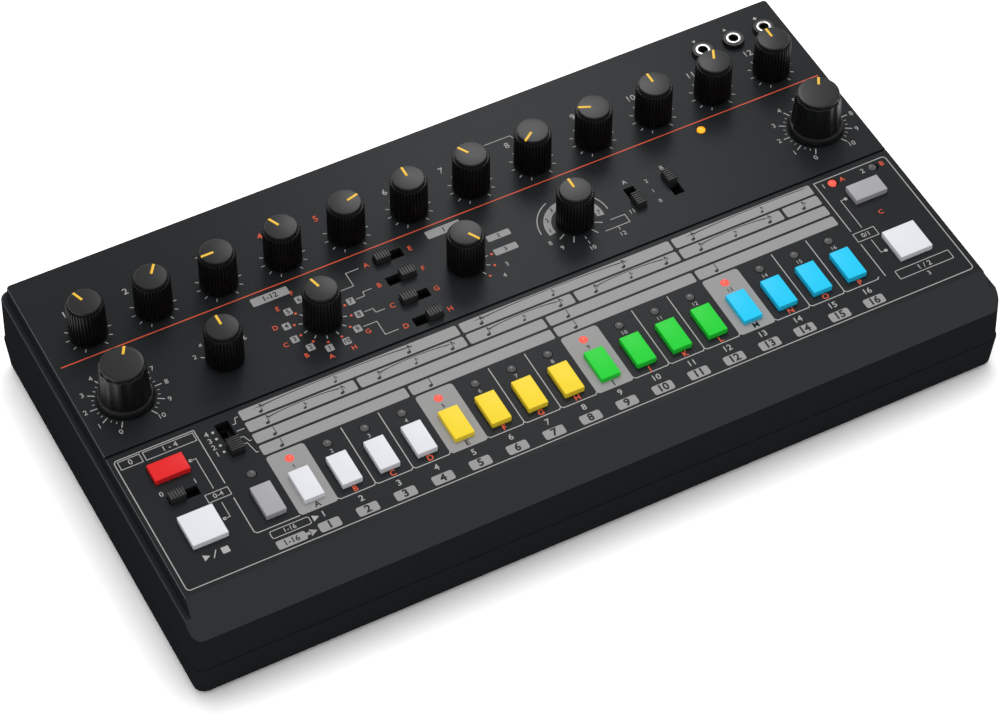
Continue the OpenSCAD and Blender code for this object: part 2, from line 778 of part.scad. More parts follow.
module fixing_screws() {
    color([0.6, 0.6, 0.62]) {
        for (x = [-1, 1]) for (y = post_y) translate([x * post_x, y, 0])
            difference() {
                union() {
                    translate([0, 0, seat_z - head_h]) cylinder(r = head_r, h = head_h);
                    translate([0, 0, seat_z - 0.5]) cylinder(r = screw_r, h = screw_top - seat_z);
                }
                translate([0, 0, seat_z - head_h - 1])
                    cylinder(r = screw_r * socket_share, h = head_h, $fn = 6);
            }
        for (p = standoffs) translate([p[0], p[1], board_low])
            difference() {
                union() {
                    translate([0, 0, -board_head_h]) cylinder(r = 2 * board_screw_r, h = board_head_h);
                    translate([0, 0, -0.5]) cylinder(r = board_screw_r, h = board_t + board_screw_grip + 0.5);
                }
                translate([0, 0, -board_head_h - 1])
                    cylinder(r = board_screw_r * socket_share, h = board_head_h + 0.5, $fn = 6);
            }
    }
}

// Outline of a ribbed grip: one narrow groove after each rib
function ribbed(r, depth, count) = [for (i = [0:count - 1]) for (k = [0:3])
    let (a = (i + [0, 0.55, 0.7, 0.85][k]) * 360 / count, q = k < 2 ? r : r - depth) q * [cos(a), sin(a)]];

module pointer(from, z) {
    color([1, 0.68, 0.05]) translate([-pointer_w / 2, from, z - pointer_in])
        cube([pointer_w, pointer_l, pointer_in + pointer_up]);
}

module knob_shaft() {
    color([0.6, 0.6, 0.62]) translate([0, 0, board_z + shaft_seat])
        cylinder(r = shaft_r, h = deck_z + knob_gap + shaft_hold - board_z - shaft_seat);
}

module small_knob(x, y, angle) {
    body_z = deck_z + knob_gap;
    top_z = body_z + knob_body_h + knob_cap_h;
    translate([x, y, 0]) rotate(angle) {
        knob_shaft();
        color([0.07, 0.07, 0.075])
            difference() {
                translate([0, 0, body_z]) linear_extrude(knob_body_h)
                    polygon(ribbed(knob_r, rib_depth, knob_ribs));
                translate([0, 0, body_z + knob_body_h - knob_recess])
                    cylinder(r = knob_cap_r + cap_ring_gap, h = knob_recess + 1);
            }
        color([0.2, 0.205, 0.21]) {
            translate([0, 0, body_z + knob_body_h - knob_recess - 0.5])
                cylinder(r = knob_cap_r, h = knob_recess + 0.5 + knob_cap_h - edge_bevel);
            translate([0, 0, top_z - edge_bevel])
                cylinder(r1 = knob_cap_r, r2 = knob_cap_r - edge_bevel, h = edge_bevel);
        }
        pointer(knob_cap_r - edge_bevel - pointer_l, top_z);
    }
}

module big_knob(x, y, angle) {
    base_z = deck_z + knob_gap;
    grip_z = base_z + skirt_h;
    translate([x, y, 0]) rotate(angle) {
        knob_shaft();
        color([0.07, 0.07, 0.075]) {
            translate([0, 0, base_z]) cylinder(r = skirt_r, h = skirt_h);
            difference() {
                translate([0, 0, grip_z]) cylinder(r1 = grip_low_r, r2 = grip_top_r, h = grip_h);
                for (i = [0:flutes - 1]) rotate((i + 0.5) * 360 / flutes)
                    translate([grip_low_r + grip_flute_r - flute_depth, 0, grip_z])
                        rotate([0, -grip_tilt, 0]) cylinder(r = grip_flute_r, h = 3 * grip_h, center = true);
            }
        }
        color([0.2, 0.205, 0.21])
            translate([0, 0, grip_z + grip_h])
                cylinder(r1 = grip_top_r - flute_depth, r2 = crown_r, h = crown_h);
        pointer(crown_r - pointer_l, base_z + big_top);
    }
}

module slide_cap(s) {
    travel = s[3] - cap_l - 2 * cap_end;
    w = s[4] - 2 * cap_gap;
    rib = cap_l / (2 * cap_ribs + 1);
    translate([s[0], s[1], 0]) rotate(s[2]) translate([s[5] * travel / 2, 0, 0])
        color([0.13, 0.135, 0.14])
            difference() {
                union() {
                    translate([-cap_l / 2, -w / 2, under_z])
                        cube([cap_l, w, deck_t + cap_up]);
                    translate([-cap_stem_l / 2, -cap_stem_w / 2, board_z + slider_h - stem_reach])
                        cube([cap_stem_l, cap_stem_w, under_z - board_z - slider_h + stem_reach + 0.8]);
                }
                for (i = [1:cap_ribs])
                    translate([(2 * i - 1) * rib - cap_l / 2, -w, deck_z + cap_up - cap_rib_h])
                        cube([rib, 2 * w, 1]);
            }
}

module push_button(p, tint) {
    lip = button_gap + button_lip;
    color(tint)
    union() {
        translate([p[0] - p[2] / 2, p[1] - p[3] / 2, under_z - button_lip_t])
            cube([p[2], p[3], button_lip_t + deck_t + button_up]);
        translate([p[0] - p[2] / 2 - lip, p[1] - p[3] / 2 - lip, under_z - button_lip_t])
            cube([p[2] + 2 * lip, p[3] + 2 * lip, button_lip_t]);
        translate([p[0], p[1], board_z + tact_floor + button_travel + plunger_play])
            cylinder(r = plunger_r, h = under_z - board_z - tact_floor - button_travel - 0.5);
    }
}

white = [0.86, 0.86, 0.87];
grey = [0.5, 0.5, 0.53];
yellow = [0.95, 0.78, 0.32];
green = [0.2, 0.62, 0.32];
blue = [0.22, 0.68, 0.85];
red = [0.8, 0.16, 0.16];
step_tints = [white, yellow, green, blue];

module step_button(n) {
    push_button(button_spots[n], step_tints[floor((n - 1) / 4)]);
}

module level_knob(n) {
    small_knob(knob_spots[n - 1][0], knob_spots[n - 1][1], turned[n - 1]);
}

module selector(n) {
    small_knob(knob_spots[12 + n][0], knob_spots[12 + n][1], selector_turned[n]);
}

module large_knob(n) {
    big_knob(knob_spots[16 + n][0], knob_spots[16 + n][1], big_turned[n]);
}

placed() top_case();
placed() bottom_case();
placed() upper_circuit_board();
placed() lower_circuit_board();
placed() pot_bodies();
placed() slide_switch_bodies();
placed() tact_switches();
placed() indicator_lamps();
placed() top_jacks();
placed() rear_sockets();
placed() rubber_feet();
placed() fixing_screws();
placed() power_button();
placed() level_knob(1);  // level_knob_1
placed() level_knob(2);  // level_knob_2
placed() level_knob(3);  // level_knob_3
placed() level_knob(4);  // level_knob_4
placed() level_knob(5);  // level_knob_5
placed() level_knob(6);  // level_knob_6
placed() level_knob(7);  // level_knob_7
placed() level_knob(8);  // level_knob_8
placed() level_knob(9);  // level_knob_9
placed() level_knob(10);  // level_knob_10
placed() level_knob(11);  // level_knob_11
placed() level_knob(12);  // level_knob_12
placed() selector(0);  // variation_selector
placed() selector(1);  // instrument_selector
placed() selector(2);  // pattern_selector
placed() selector(3);  // fill_selector
placed() large_knob(0);  // tempo_knob
placed() large_knob(1);  // volume_knob
placed() slide_cap(slide_spots[0]);  // voice_slide_1
placed() slide_cap(slide_spots[1]);  // voice_slide_2
placed() slide_cap(slide_spots[2]);  // voice_slide_3
placed() slide_cap(slide_spots[3]);  // voice_slide_4
placed() slide_cap(slide_spots[4]);  // fade_in_slide
placed() slide_cap(slide_spots[5]);  // fade_out_slide
placed() slide_cap(slide_spots[6]);  // auto_slide
placed() slide_cap(slide_spots[7]);  // scale_slide
placed() push_button(button_spots[0], grey);  // function_button
placed() step_button(1);  // step_button_1
placed() step_button(2);  // step_button_2
placed() step_button(3);  // step_button_3
placed() step_button(4);  // step_button_4
placed() step_button(5);  // step_button_5
placed() step_button(6);  // step_button_6
placed() step_button(7);  // step_button_7
placed() step_button(8);  // step_button_8
placed() step_button(9);  // step_button_9
placed() step_button(10);  // step_button_10
placed() step_button(11);  // step_button_11
placed() step_button(12);  // step_button_12
placed() step_button(13);  // step_button_13
placed() step_button(14);  // step_button_14
placed() step_button(15);  // step_button_15
placed() step_button(16);  // step_button_16
placed() push_button(button_spots[17], red);  // clear_button
placed() push_button(button_spots[18], white);  // start_button
placed() push_button(button_spots[19], grey);  // pattern_button
placed() push_button(button_spots[20], white);  // write_button
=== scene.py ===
# Desktop drum machine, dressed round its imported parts. Sizes in the dictionaries are in millimetres.
import json
import math
import bmesh
import bpy
from bpy import context, ops
from mathutils import Matrix, Vector


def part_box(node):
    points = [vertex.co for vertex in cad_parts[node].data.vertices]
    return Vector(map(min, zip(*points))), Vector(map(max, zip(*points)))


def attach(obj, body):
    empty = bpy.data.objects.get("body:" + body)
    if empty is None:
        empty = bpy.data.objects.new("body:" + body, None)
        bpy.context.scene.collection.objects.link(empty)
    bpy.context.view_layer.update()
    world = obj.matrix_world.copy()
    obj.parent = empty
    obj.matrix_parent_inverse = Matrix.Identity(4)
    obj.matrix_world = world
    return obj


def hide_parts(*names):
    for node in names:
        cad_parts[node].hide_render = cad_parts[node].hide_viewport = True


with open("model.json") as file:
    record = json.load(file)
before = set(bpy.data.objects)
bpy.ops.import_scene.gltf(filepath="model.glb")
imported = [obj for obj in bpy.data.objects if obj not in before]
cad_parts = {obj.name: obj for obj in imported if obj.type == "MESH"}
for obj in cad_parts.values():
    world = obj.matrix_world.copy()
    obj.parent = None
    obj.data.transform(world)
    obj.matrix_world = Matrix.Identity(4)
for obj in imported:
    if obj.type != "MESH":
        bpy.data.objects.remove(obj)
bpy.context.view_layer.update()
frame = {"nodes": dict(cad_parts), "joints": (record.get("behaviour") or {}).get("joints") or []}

mm = 0.001
hair = 1e-5  # in metres: nearer than this counts as the same place
knobGap = 0.6  # from the deck to a knob
topLow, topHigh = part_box("top_case")
deckInset = 3.2  # from the top case's widest line in to the deck's edge
deckLeft = topLow.x + deckInset * mm
deckBack = topHigh.y - deckInset * mm
deckTop = topHigh.z
turning = {joint["child"]: joint for joint in frame["joints"]}


def onDeck(x, y, z=0.0):
    # x from the deck's left edge, y from its back edge and negative towards the front
    return Vector((deckLeft + x * mm, deckBack + y * mm, deckTop + z * mm))


def middleOf(node):
    low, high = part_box(node)
    return (low + high) / 2


# working habits
def alone(piece):
    ops.object.select_all(action="DESELECT")
    piece.select_set(True)
    context.view_layer.objects.active = piece


def added(name):
    piece = context.object
    piece.name = name
    return piece


def shaping(piece):
    alone(piece)
    ops.object.mode_set(mode="EDIT")
    ops.mesh.select_mode(type="VERT")


def begun(name):
    # a new piece, named, settled and opened for shaping
    piece = added(name)
    settled()
    shaping(piece)
    return piece


def shaped():
    ops.object.mode_set(mode="OBJECT")


def choose(piece, kind, test):
    # in edit mode: selects the vertices, edges or faces that pass the test
    ops.mesh.select_mode(type={"verts": "VERT", "edges": "EDGE", "faces": "FACE"}[kind])
    ops.mesh.select_all(action="DESELECT")
    editMesh = bmesh.from_edit_mesh(piece.data)
    for item in getattr(editMesh, kind):
        if test(item):
            item.select_set(True)
    editMesh.select_flush_mode()
    bmesh.update_edit_mesh(piece.data)


def chooseAll():
    ops.mesh.select_all(action="SELECT")


def moveUp(height):
    ops.transform.translate(value=(0, 0, height * mm))


def growBy(across, deep=None):
    ops.transform.resize(value=(across, deep or across, 1), center_override=(0, 0, 0))


def pullUp(height, growth=1.0):
    # one more ring of a turned shape about the Z axis
    ops.mesh.extrude_region_move(TRANSFORM_OT_translate={"value": (0, 0, height * mm)})
    if growth != 1.0:
        growBy(growth)


def facingOut():
    chooseAll()
    ops.mesh.normals_make_consistent(inside=False)


def withModifier(piece, kind, **settings):
    alone(piece)
    modifier = piece.modifiers.new(kind.lower(), kind)
    for key, value in settings.items():
        setattr(modifier, key, value)
    ops.object.modifier_apply(modifier=modifier.name)


def rounded(piece, width, segments=3, angle=40):
    withModifier(piece, "BEVEL", width=width * mm, segments=segments, limit_method="ANGLE",
                 angle_limit=math.radians(angle), harden_normals=False)


def settled():
    # the active piece's place, turn and size go into its mesh
    ops.object.transform_apply(location=True, rotation=True, scale=True)


def smooth(piece, angle):
    alone(piece)
    settled()
    ops.object.shade_smooth_by_angle(angle=math.radians(angle))
    return piece


def twin(pattern, name, place):
    # a copy with its own mesh, its place in the mesh
    piece = bpy.data.objects.new(name, pattern.data.copy())
    context.scene.collection.objects.link(piece)
    piece.data.transform(place)
    return piece


def copied(pattern, name, place, material, body, replaced=None):
    # a copy of a finished pattern as a piece of the machine
    piece = twin(pattern, name, place)
    piece.data.materials.clear()
    piece.data.materials.append(material)
    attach(piece, body)
    if replaced:
        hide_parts(replaced)
    return piece


def thrownAway(*patterns):
    for pattern in patterns:
        bpy.data.objects.remove(pattern)


# materials
texture = {"low": 0.3, "high": 0.7, "broad": 220.0, "broadDetail": 3.0, "drift": 0.01, "bump": 0.1,
           "metal": 1500.0, "metalDrift": 0.07, "metalDepth": 0.01, "ink": 4500.0, "inkDetail": 3.0,
           "inkDepth": 0.01, "lamp": 2500.0, "lampDepth": 0.01, "tracks": 260.0, "trackDepth": 0.03}


def fed(node, values):
    # sets the inputs of a node; where the value is a socket, it is linked
    for name, value in values.items():
        if isinstance(value, bpy.types.NodeSocket):
            node.id_data.links.new(value, node.inputs[name])
        else:
            node.inputs[name].default_value = value
    return node


def newNode(tree, kind, **values):
    # the inputs are named with underscores for their spaces
    named = {key.replace("_", " "): value for key, value in values.items()}
    return fed(tree.nodes.new("ShaderNode" + kind), named)


def newMaterial(name, colour, roughness, specular=0.5, metallic=0.0):
    material = bpy.data.materials.new(name)
    material.use_nodes = True
    shader = fed(material.node_tree.nodes["Principled BSDF"], {
        "Base Color": (*colour, 1), "Roughness": roughness, "Specular IOR Level": specular,
        "Metallic": metallic})
    return material, material.node_tree, shader


def placeNodes(tree, scale=(1, 1, 1)):
    place = newNode(tree, "TexCoord").outputs["Object"]
    return newNode(tree, "Mapping", Scale=scale, Vector=place).outputs["Vector"]


def noiseNode(tree, vector, scale, detail=2.0):
    return newNode(tree, "TexNoise", Scale=scale, Detail=detail, Vector=vector).outputs["Fac"]


def spreadNode(tree, value, low, high):
    return newNode(tree, "MapRange", From_Min=texture["low"], From_Max=texture["high"], To_Min=low,
                   To_Max=high, Value=value).outputs["Result"]


def tintNode(tree, value, colour, change):
    ramp = newNode(tree, "ValToRGB", Fac=value)
    for end, side, position in zip(ramp.color_ramp.elements, (-1, 1), (texture["low"], texture["high"])):
        end.position = position
        end.color = (*[min(1, c * (1 + side * change)) for c in colour], 1)
    return ramp.outputs["Color"]


def bumpNode(tree, shader, height, strength, depth):
    bump = newNode(tree, "Bump", Strength=strength, Distance=depth * mm, Height=height)
    fed(shader, {"Normal": bump.outputs["Normal"]})


def mouldedPlastic(name, colour, specular, roughness=0.38, grain=0.5, change=0.02, depth=0.01):
    # satin plastic: a fine spark-eroded grain, with colour and gloss that drift a little
    material, tree, shader = newMaterial(name, colour, roughness, specular)
    vector = placeNodes(tree)
    fine = noiseNode(tree, vector, 1 / (grain * mm))
    broad = noiseNode(tree, vector, texture["broad"], texture["broadDetail"])
    drift = texture["drift"]
    fed(shader, {"Base Color": tintNode(tree, fine, colour, change),
                 "Roughness": spreadNode(tree, broad, roughness - drift, roughness + drift)})
    bumpNode(tree, shader, fine, texture["bump"], depth)
    return material


def shellPlastic(name, colour, roughness, deckGloss, slopeGloss, wallGloss):
    # the moulded shells: the walls are duller than the deck and the sloped front
    material = mouldedPlastic(name, colour, deckGloss, roughness, 0.3, 0.1, 0.02)
    tree = material.node_tree
    split = newNode(tree, "SeparateXYZ", Vector=newNode(tree, "TexCoord").outputs["Normal"])
    ramp = newNode(tree, "ValToRGB", Fac=split.outputs["Z"])
    stops = ((0.15, wallGloss), (0.5, slopeGloss), (0.97, slopeGloss), (0.995, deckGloss))
    ramp.color_ramp.elements.new(0.5)
    ramp.color_ramp.elements.new(0.6)
    for element, (position, value) in zip(ramp.color_ramp.elements, stops):
        element.position = position
        element.color = (value, value, value, 1)
    fed(tree.nodes["Principled BSDF"], {"Specular IOR Level": ramp.outputs["Color"]})
    return material


def metal(name, colour, roughness, brush=(1, 1, 1)):
    material, tree, shader = newMaterial(name, colour, roughness, 0.5, 1.0)
    fine = noiseNode(tree, placeNodes(tree, brush), texture["metal"])
    drift = texture["metalDrift"]
    fed(shader, {"Base Color": tintNode(tree, fine, colour, 0.1),
                 "Roughness": spreadNode(tree, fine, roughness - drift, roughness + drift)})
    bumpNode(tree, shader, fine, texture["bump"], texture["metalDepth"])
    return material


def inkMaterial(name, colour):
    # silk-screened ink: thin, faintly uneven
    material, tree, shader = newMaterial(name, colour, 0.5, 0.3)
    fine = noiseNode(tree, placeNodes(tree), texture["ink"], texture["inkDetail"])
    fed(shader, {"Base Color": tintNode(tree, fine, colour, 0.07)})
    bumpNode(tree, shader, fine, 0.2, texture["inkDepth"])
    return material


def lampMaterial(name, colour, glow=0.0, core=None):
    # diffusing lamp: the lit ones are palest in the middle of the dome
    material, tree, shader = newMaterial(name, colour, 0.25, 0.5)
    fine = noiseNode(tree, placeNodes(tree), texture["lamp"])
    fed(shader, {"Base Color": tintNode(tree, fine, colour, 0.05)})
    bumpNode(tree, shader, fine, texture["bump"], texture["lampDepth"])
    if glow:
        weight = newNode(tree, "LayerWeight", Blend=0.35)
        mix = newNode(tree, "Mix")
        mix.data_type = "RGBA"
        fed(mix, {"A": (*core, 1), "B": (*colour, 1), "Factor": weight.outputs["Facing"]})
        fed(shader, {"Emission Color": mix.outputs["Result"], "Emission Strength": glow})
    return material


def boardMaterial(name, colour):
    # solder mask with paler copper tracks under it
    material, tree, shader = newMaterial(name, colour, 0.35, 0.5)
    cells = newNode(tree, "TexVoronoi", Scale=texture["tracks"], Vector=placeNodes(tree))
    cells.distance = "MANHATTAN"
    fed(shader, {"Base Color": tintNode(tree, cells.outputs["Distance"], colour, 0.35)})
    bumpNode(tree, shader, cells.outputs["Distance"], 0.2, texture["trackDepth"])
    return material


finish = {
    "deck": shellPlastic("deckPlastic", (0.0150, 0.0168, 0.0185), 0.36, 0.11, 0.36, 0.0),
    "case": shellPlastic("casePlastic", (0.0150, 0.0168, 0.0185), 0.45, 0.2, 0.1, 0.0),
    "grip": mouldedPlastic("gripPlastic", (0.004, 0.0045, 0.005), 0.3, 0.38, 0.4, 0.1),
    "cap": mouldedPlastic("capPlastic", (0.013, 0.0135, 0.014), 0.33, 0.34, 0.3, 0.05),
    "pointer": mouldedPlastic("pointerPaint", (0.95, 0.55, 0.03), 0.4, 0.4, 0.3, 0.05),
    "slider": mouldedPlastic("sliderPlastic", (0.022, 0.023, 0.024), 0.5, 0.4, 0.3, 0.08),
    "white": mouldedPlastic("whiteButtons", (0.80, 0.81, 0.85), 0.2),
    "yellow": mouldedPlastic("yellowButtons", (0.98, 0.73, 0.04), 0.15),
    "green": mouldedPlastic("greenButtons", (0.02, 0.68, 0.045), 0.15),
    "blue": mouldedPlastic("blueButtons", (0.02, 0.63, 0.99), 0.15),
    "red": mouldedPlastic("redButton", (0.82, 0.022, 0.024), 0.15),
    "grey": mouldedPlastic("greyButtons", (0.40, 0.40, 0.42), 0.2),
    "black": mouldedPlastic("blackPlastic", (0.008, 0.008, 0.0085), 0.5, 0.4, 0.3, 0.1),
    "rubber": mouldedPlastic("footRubber", (0.012, 0.012, 0.012), 0.3, 0.8, 0.4, 0.15, 0.05),
    "steel": metal("brightSteel", (0.72, 0.70, 0.68), 0.22),
    "zinc": metal("pressedZinc", (0.42, 0.42, 0.43), 0.4, (1, 8, 1)),
    "lightInk": inkMaterial("lightInk", (0.43, 0.43, 0.425)),
    "greyInk": inkMaterial("greyInk", (0.32, 0.318, 0.316)),
    "orangeInk": inkMaterial("orangeInk", (0.80, 0.11, 0.05)),
    "darkInk": inkMaterial("darkInk", (0.02, 0.021, 0.023)),
    "dimLamp": lampMaterial("dimLamps", (0.088, 0.088, 0.088)),
    "redLamp": lampMaterial("redLamps", (0.8, 0.02, 0.015), 0.75, (1.0, 0.16, 0.1)),
    "amberLamp": lampMaterial("amberLamp", (0.9, 0.22, 0.01), 0.85, (1.0, 0.5, 0.01)),
    "board": boardMaterial("solderMask", (0.012, 0.11, 0.05)),
}
print("materials made:", len(finish))

dressedNodes = {
    "top_case": "deck", "bottom_case": "case", "upper_circuit_board": "board", "lower_circuit_board": "board",
    "pot_bodies": "zinc", "slide_switch_bodies": "black", "tact_switches": "black", "rear_sockets": "black",
    "rubber_feet": "rubber", "fixing_screws": "zinc", "power_button": "black", "indicator_lamps": "dimLamp",
    "top_jacks": "black"}
for nodeName, finishName in dressedNodes.items():
    nodeMesh = frame["nodes"][nodeName].data
    nodeMesh.materials.clear()
    nodeMesh.materials.append(finish[finishName])

# small knobs
smallKnob = {
    "radius": 6.65, "ribs": 36, "ribDepth": 0.5, "footHeight": 0.4, "footIn": 0.97, "bodyHeight": 14.7,
    "topIn": 0.985, "toothRound": 0.45, "toothIn": 0.965, "recessRadius": 5.72, "recessDepth": 0.8,
    "capRadius": 5.6, "capRise": 1.3, "capRound": 0.35, "pointerLength": 4.3, "pointerWidth": 0.9,
    "pointerUp": 0.06, "pointerIn": 0.25, "pointerDrop": 0.25, "ribPoints": 6, "ribEase": 0.988}
dialStarts = {"variation_selector": -60, "instrument_selector": -165, "pattern_selector": 60}
allTheWayLeft = -150  # where every other dial starts, in degrees from straight back


def topSeat(grip, points, height, radius, drop):
    # opens the flat top of a grip and sinks a round seat into it
    top = height * mm
    inner = radius * mm + 2 * hair
    ops.mesh.delete(type="ONLY_FACE")
    ops.mesh.primitive_circle_add(vertices=points, radius=radius * mm, location=(0, 0, top))
    choose(grip, "edges", lambda e: all(v.co.z > top - hair for v in e.verts))
    ops.mesh.bridge_edge_loops()
    choose(grip, "verts", lambda v: v.co.z > top - hair and v.co.xy.length < inner)
    pullUp(-drop)
    ops.mesh.edge_face_add()
    facingOut()
    shaped()


def ribbedGrip(look):
    ribPoints = look["ribPoints"]
    points = look["ribs"] * ribPoints
    ops.mesh.primitive_circle_add(vertices=points, radius=look["radius"] * mm)
    grip = begun("gripPattern")
    choose(grip, "verts", lambda v: v.index % ribPoints in (4, 5))
    growBy(1 - look["ribDepth"] / look["radius"])
    choose(grip, "verts", lambda v: v.index % ribPoints in (0, 3))
    growBy(look["ribEase"])
    chooseAll()
    growBy(look["footIn"])
    ops.mesh.edge_face_add()
    pullUp(look["footHeight"], 1 / look["footIn"])
    pullUp(look["bodyHeight"] - look["footHeight"] - look["toothRound"], look["topIn"])
    pullUp(look["toothRound"], look["toothIn"])
    topSeat(grip, points, look["bodyHeight"], look["recessRadius"], look["recessDepth"])
    return smooth(grip, 38)


def roundCap(look, base):
    height = look["capRise"] + look["recessDepth"]
    ops.mesh.primitive_cylinder_add(vertices=72, radius=look["capRadius"] * mm, depth=height * mm,
                                    location=(0, 0, (base - look["recessDepth"] + height / 2) * mm))
    cap = begun("capPattern")
    choose(cap, "edges", lambda e: all(v.co.z > base * mm for v in e.verts))
    ops.mesh.bevel(offset=look["capRound"] * mm, segments=4, affect="EDGES")
    shaped()
    return smooth(cap, 40)


def pointerBar(look, rim, top):
    # a bar of paint from near the middle out to the rim, where it turns down over the rounded edge
    length = look["pointerLength"]
    up = look["pointerUp"]
    sunk = look["pointerIn"]
    drop = look["pointerDrop"]
    ops.mesh.primitive_cube_add(size=1, location=(0, (rim - length / 2) * mm, (top + (up - sunk) / 2) * mm),
                                scale=(look["pointerWidth"] * mm, length * mm, (up + sunk) * mm))
    pointer = begun("pointerPattern")
    choose(pointer, "faces", lambda f: f.normal.y > 0.9)
    ops.mesh.extrude_region_move(TRANSFORM_OT_translate={"value": (0, drop * mm, -drop * mm)})
    shaped()
    rounded(pointer, 0.06, 2)
    return smooth(pointer, 40)


def knobPlace(node):
    # base of the knob on its shaft's line, turned as it stands at rest
    joint = turning[node]
    angle = dialStarts.get(node, allTheWayLeft) - joint["range_deg"][0]
    x, y = joint["pos_m"][:2]
    return Matrix.Translation((x, y, deckTop + knobGap * mm)) @ Matrix.Rotation(-math.radians(angle), 4, "Z")


gripPattern = ribbedGrip(smallKnob)
capPattern = roundCap(smallKnob, smallKnob["bodyHeight"])
pointerPattern = pointerBar(smallKnob, smallKnob["capRadius"] - smallKnob["capRound"] * 0.7,
                            smallKnob["bodyHeight"] + smallKnob["capRise"])
smallKnobs = [f"level_knob_{n}" for n in range(1, 13)] + [
    "variation_selector", "instrument_selector", "pattern_selector", "fill_selector"]
for node in smallKnobs:
    place = knobPlace(node)
    copied(gripPattern, node + "_grip", place, finish["grip"], node, node)
    copied(capPattern, node + "_cap", place, finish["cap"], node)
    copied(pointerPattern, node + "_pointer", place, finish["pointer"], node)
thrownAway(gripPattern, capPattern, pointerPattern)
print("small knobs placed:", len(smallKnobs))

# large knobs
largeKnob = {
    "skirtRadius": 10.0, "skirtTopRadius": 9.3, "skirtHeight": 2.5, "skirtRound": 0.5,
    "flutes": 12, "lowRadius": 8.85, "topRadius": 7.95, "gripHeight": 13.2, "gripRound": 0.35,
    "fluteDepths": (0, 0, 0.12, 0.3, 0.42, 0.47, 0.47, 0.42, 0.3, 0.12, 0, 0),
    "neckRadius": 7.1, "neckDrop": 0.25, "crownRadius": 7.4, "crownHeight": 1.7, "crownRound": 0.3,
    "crownTaper": 0.25, "dome": 0.22, "domeRings": 6, "pointerLength": 3.6, "pointerWidth": 0.9,
    "pointerEdge": 0.25, "pointerLow": 0.12, "pointerUp": 0.06, "pointerIn": 0.3, "pointerDrop": 0.2}


def flutedGrip(look):
    steps = len(look["fluteDepths"])
    points = look["flutes"] * steps
    ops.mesh.primitive_circle_add(vertices=points, radius=look["lowRadius"] * mm,
                                  location=(0, 0, look["skirtHeight"] * mm))
    grip = begun("flutedPattern")
    for step, depth in enumerate(look["fluteDepths"]):
        if depth:
            choose(grip, "verts", lambda v: v.index % steps == step)
            growBy(1 - depth / look["lowRadius"])
    chooseAll()
    ops.mesh.edge_face_add()
    pullUp(look["gripHeight"] - look["gripRound"], look["topRadius"] / look["lowRadius"])
    pullUp(look["gripRound"], 1 - look["gripRound"] / look["topRadius"])
    topSeat(grip, points, look["skirtHeight"] + look["gripHeight"], look["neckRadius"], look["neckDrop"])
    return smooth(grip, 30)


def knobSkirt(look):
    high = look["skirtHeight"]
    ops.mesh.primitive_cone_add(vertices=96, radius1=look["skirtRadius"] * mm,
                                radius2=look["skirtTopRadius"] * mm, depth=high * mm,
                                location=(0, 0, high / 2 * mm))
    skirt = added("skirtPattern")
    settled()
    rounded(skirt, look["skirtRound"], 3)
    return smooth(skirt, 40)


def domed(piece, ring, rises):
    # swells a flat round top in rings that rise less and less
    for rise in rises:
        choose(piece, "faces", lambda f: f.normal.z > 0.99 and f.calc_center_median().xy.length < hair)
        ops.mesh.inset(thickness=ring * mm)
        moveUp(rise)


def domedCrown(look):
    low = look["skirtHeight"] + look["gripHeight"] - look["neckDrop"]
    height = look["crownHeight"] + look["neckDrop"] - look["dome"]
    ops.mesh.primitive_cone_add(vertices=96, radius1=(look["crownRadius"] - look["crownTaper"]) * mm,
                                radius2=look["crownRadius"] * mm, depth=height * mm,
                                location=(0, 0, (low + height / 2) * mm))
    crown = begun("crownPattern")
    topFace = (low + height) * mm
    choose(crown, "edges", lambda e: all(v.co.z > topFace - hair for v in e.verts))
    ops.mesh.bevel(offset=look["crownRound"] * mm, segments=3, affect="EDGES")
    rings = look["domeRings"]
    rises = [look["dome"] / rings * (1.6 - 0.24 * n) for n in range(rings)]
    domed(crown, look["crownRadius"] / (rings + 1), rises)
    shaped()
    return smooth(crown, 35)


flutedPattern = flutedGrip(largeKnob)
skirtPattern = knobSkirt(largeKnob)
crownPattern = domedCrown(largeKnob)
crownTop = largeKnob["skirtHeight"] + largeKnob["gripHeight"] + largeKnob["crownHeight"]
longPointer = pointerBar(largeKnob, largeKnob["crownRadius"] - largeKnob["pointerEdge"],
                         crownTop - largeKnob["pointerLow"])
for node in ("tempo_knob", "volume_knob"):
    place = knobPlace(node)
    copied(flutedPattern, node + "_grip", place, finish["grip"], node, node)
    copied(skirtPattern, node + "_skirt", place, finish["grip"], node)
    copied(crownPattern, node + "_crown", place, finish["cap"], node)
    copied(longPointer, node + "_pointer", place, finish["pointer"], node)
thrownAway(flutedPattern, skirtPattern, crownPattern, longPointer)
print("large knobs placed")

# push buttons
button = {"flange": 0.85, "flangeHeight": 1.0, "up": 2.0, "plunger": 3.2, "plungerHeight": 4.6, "edge": 0.22,
          "step": (7.2, 13.0), "short": (12.5, 7.5), "square": (12.5, 13.0)}
deckThickness = 2.5
stepColours = ["white", "yellow", "green", "blue"]


def capBlock(name, width, length, up):
    # a block that fills its hole in the deck and stands out above it
    height = deckThickness + up
    ops.mesh.primitive_cube_add(size=1, location=(0, 0, (up - height / 2) * mm),
                                scale=(width * mm, length * mm, height * mm))
    cap = begun(name)
    return cap


def overNode(node, turn=0):
    middle = middleOf(node)
    return Matrix.Translation((middle.x, middle.y, deckTop)) @ Matrix.Rotation(math.radians(turn), 4, "Z")


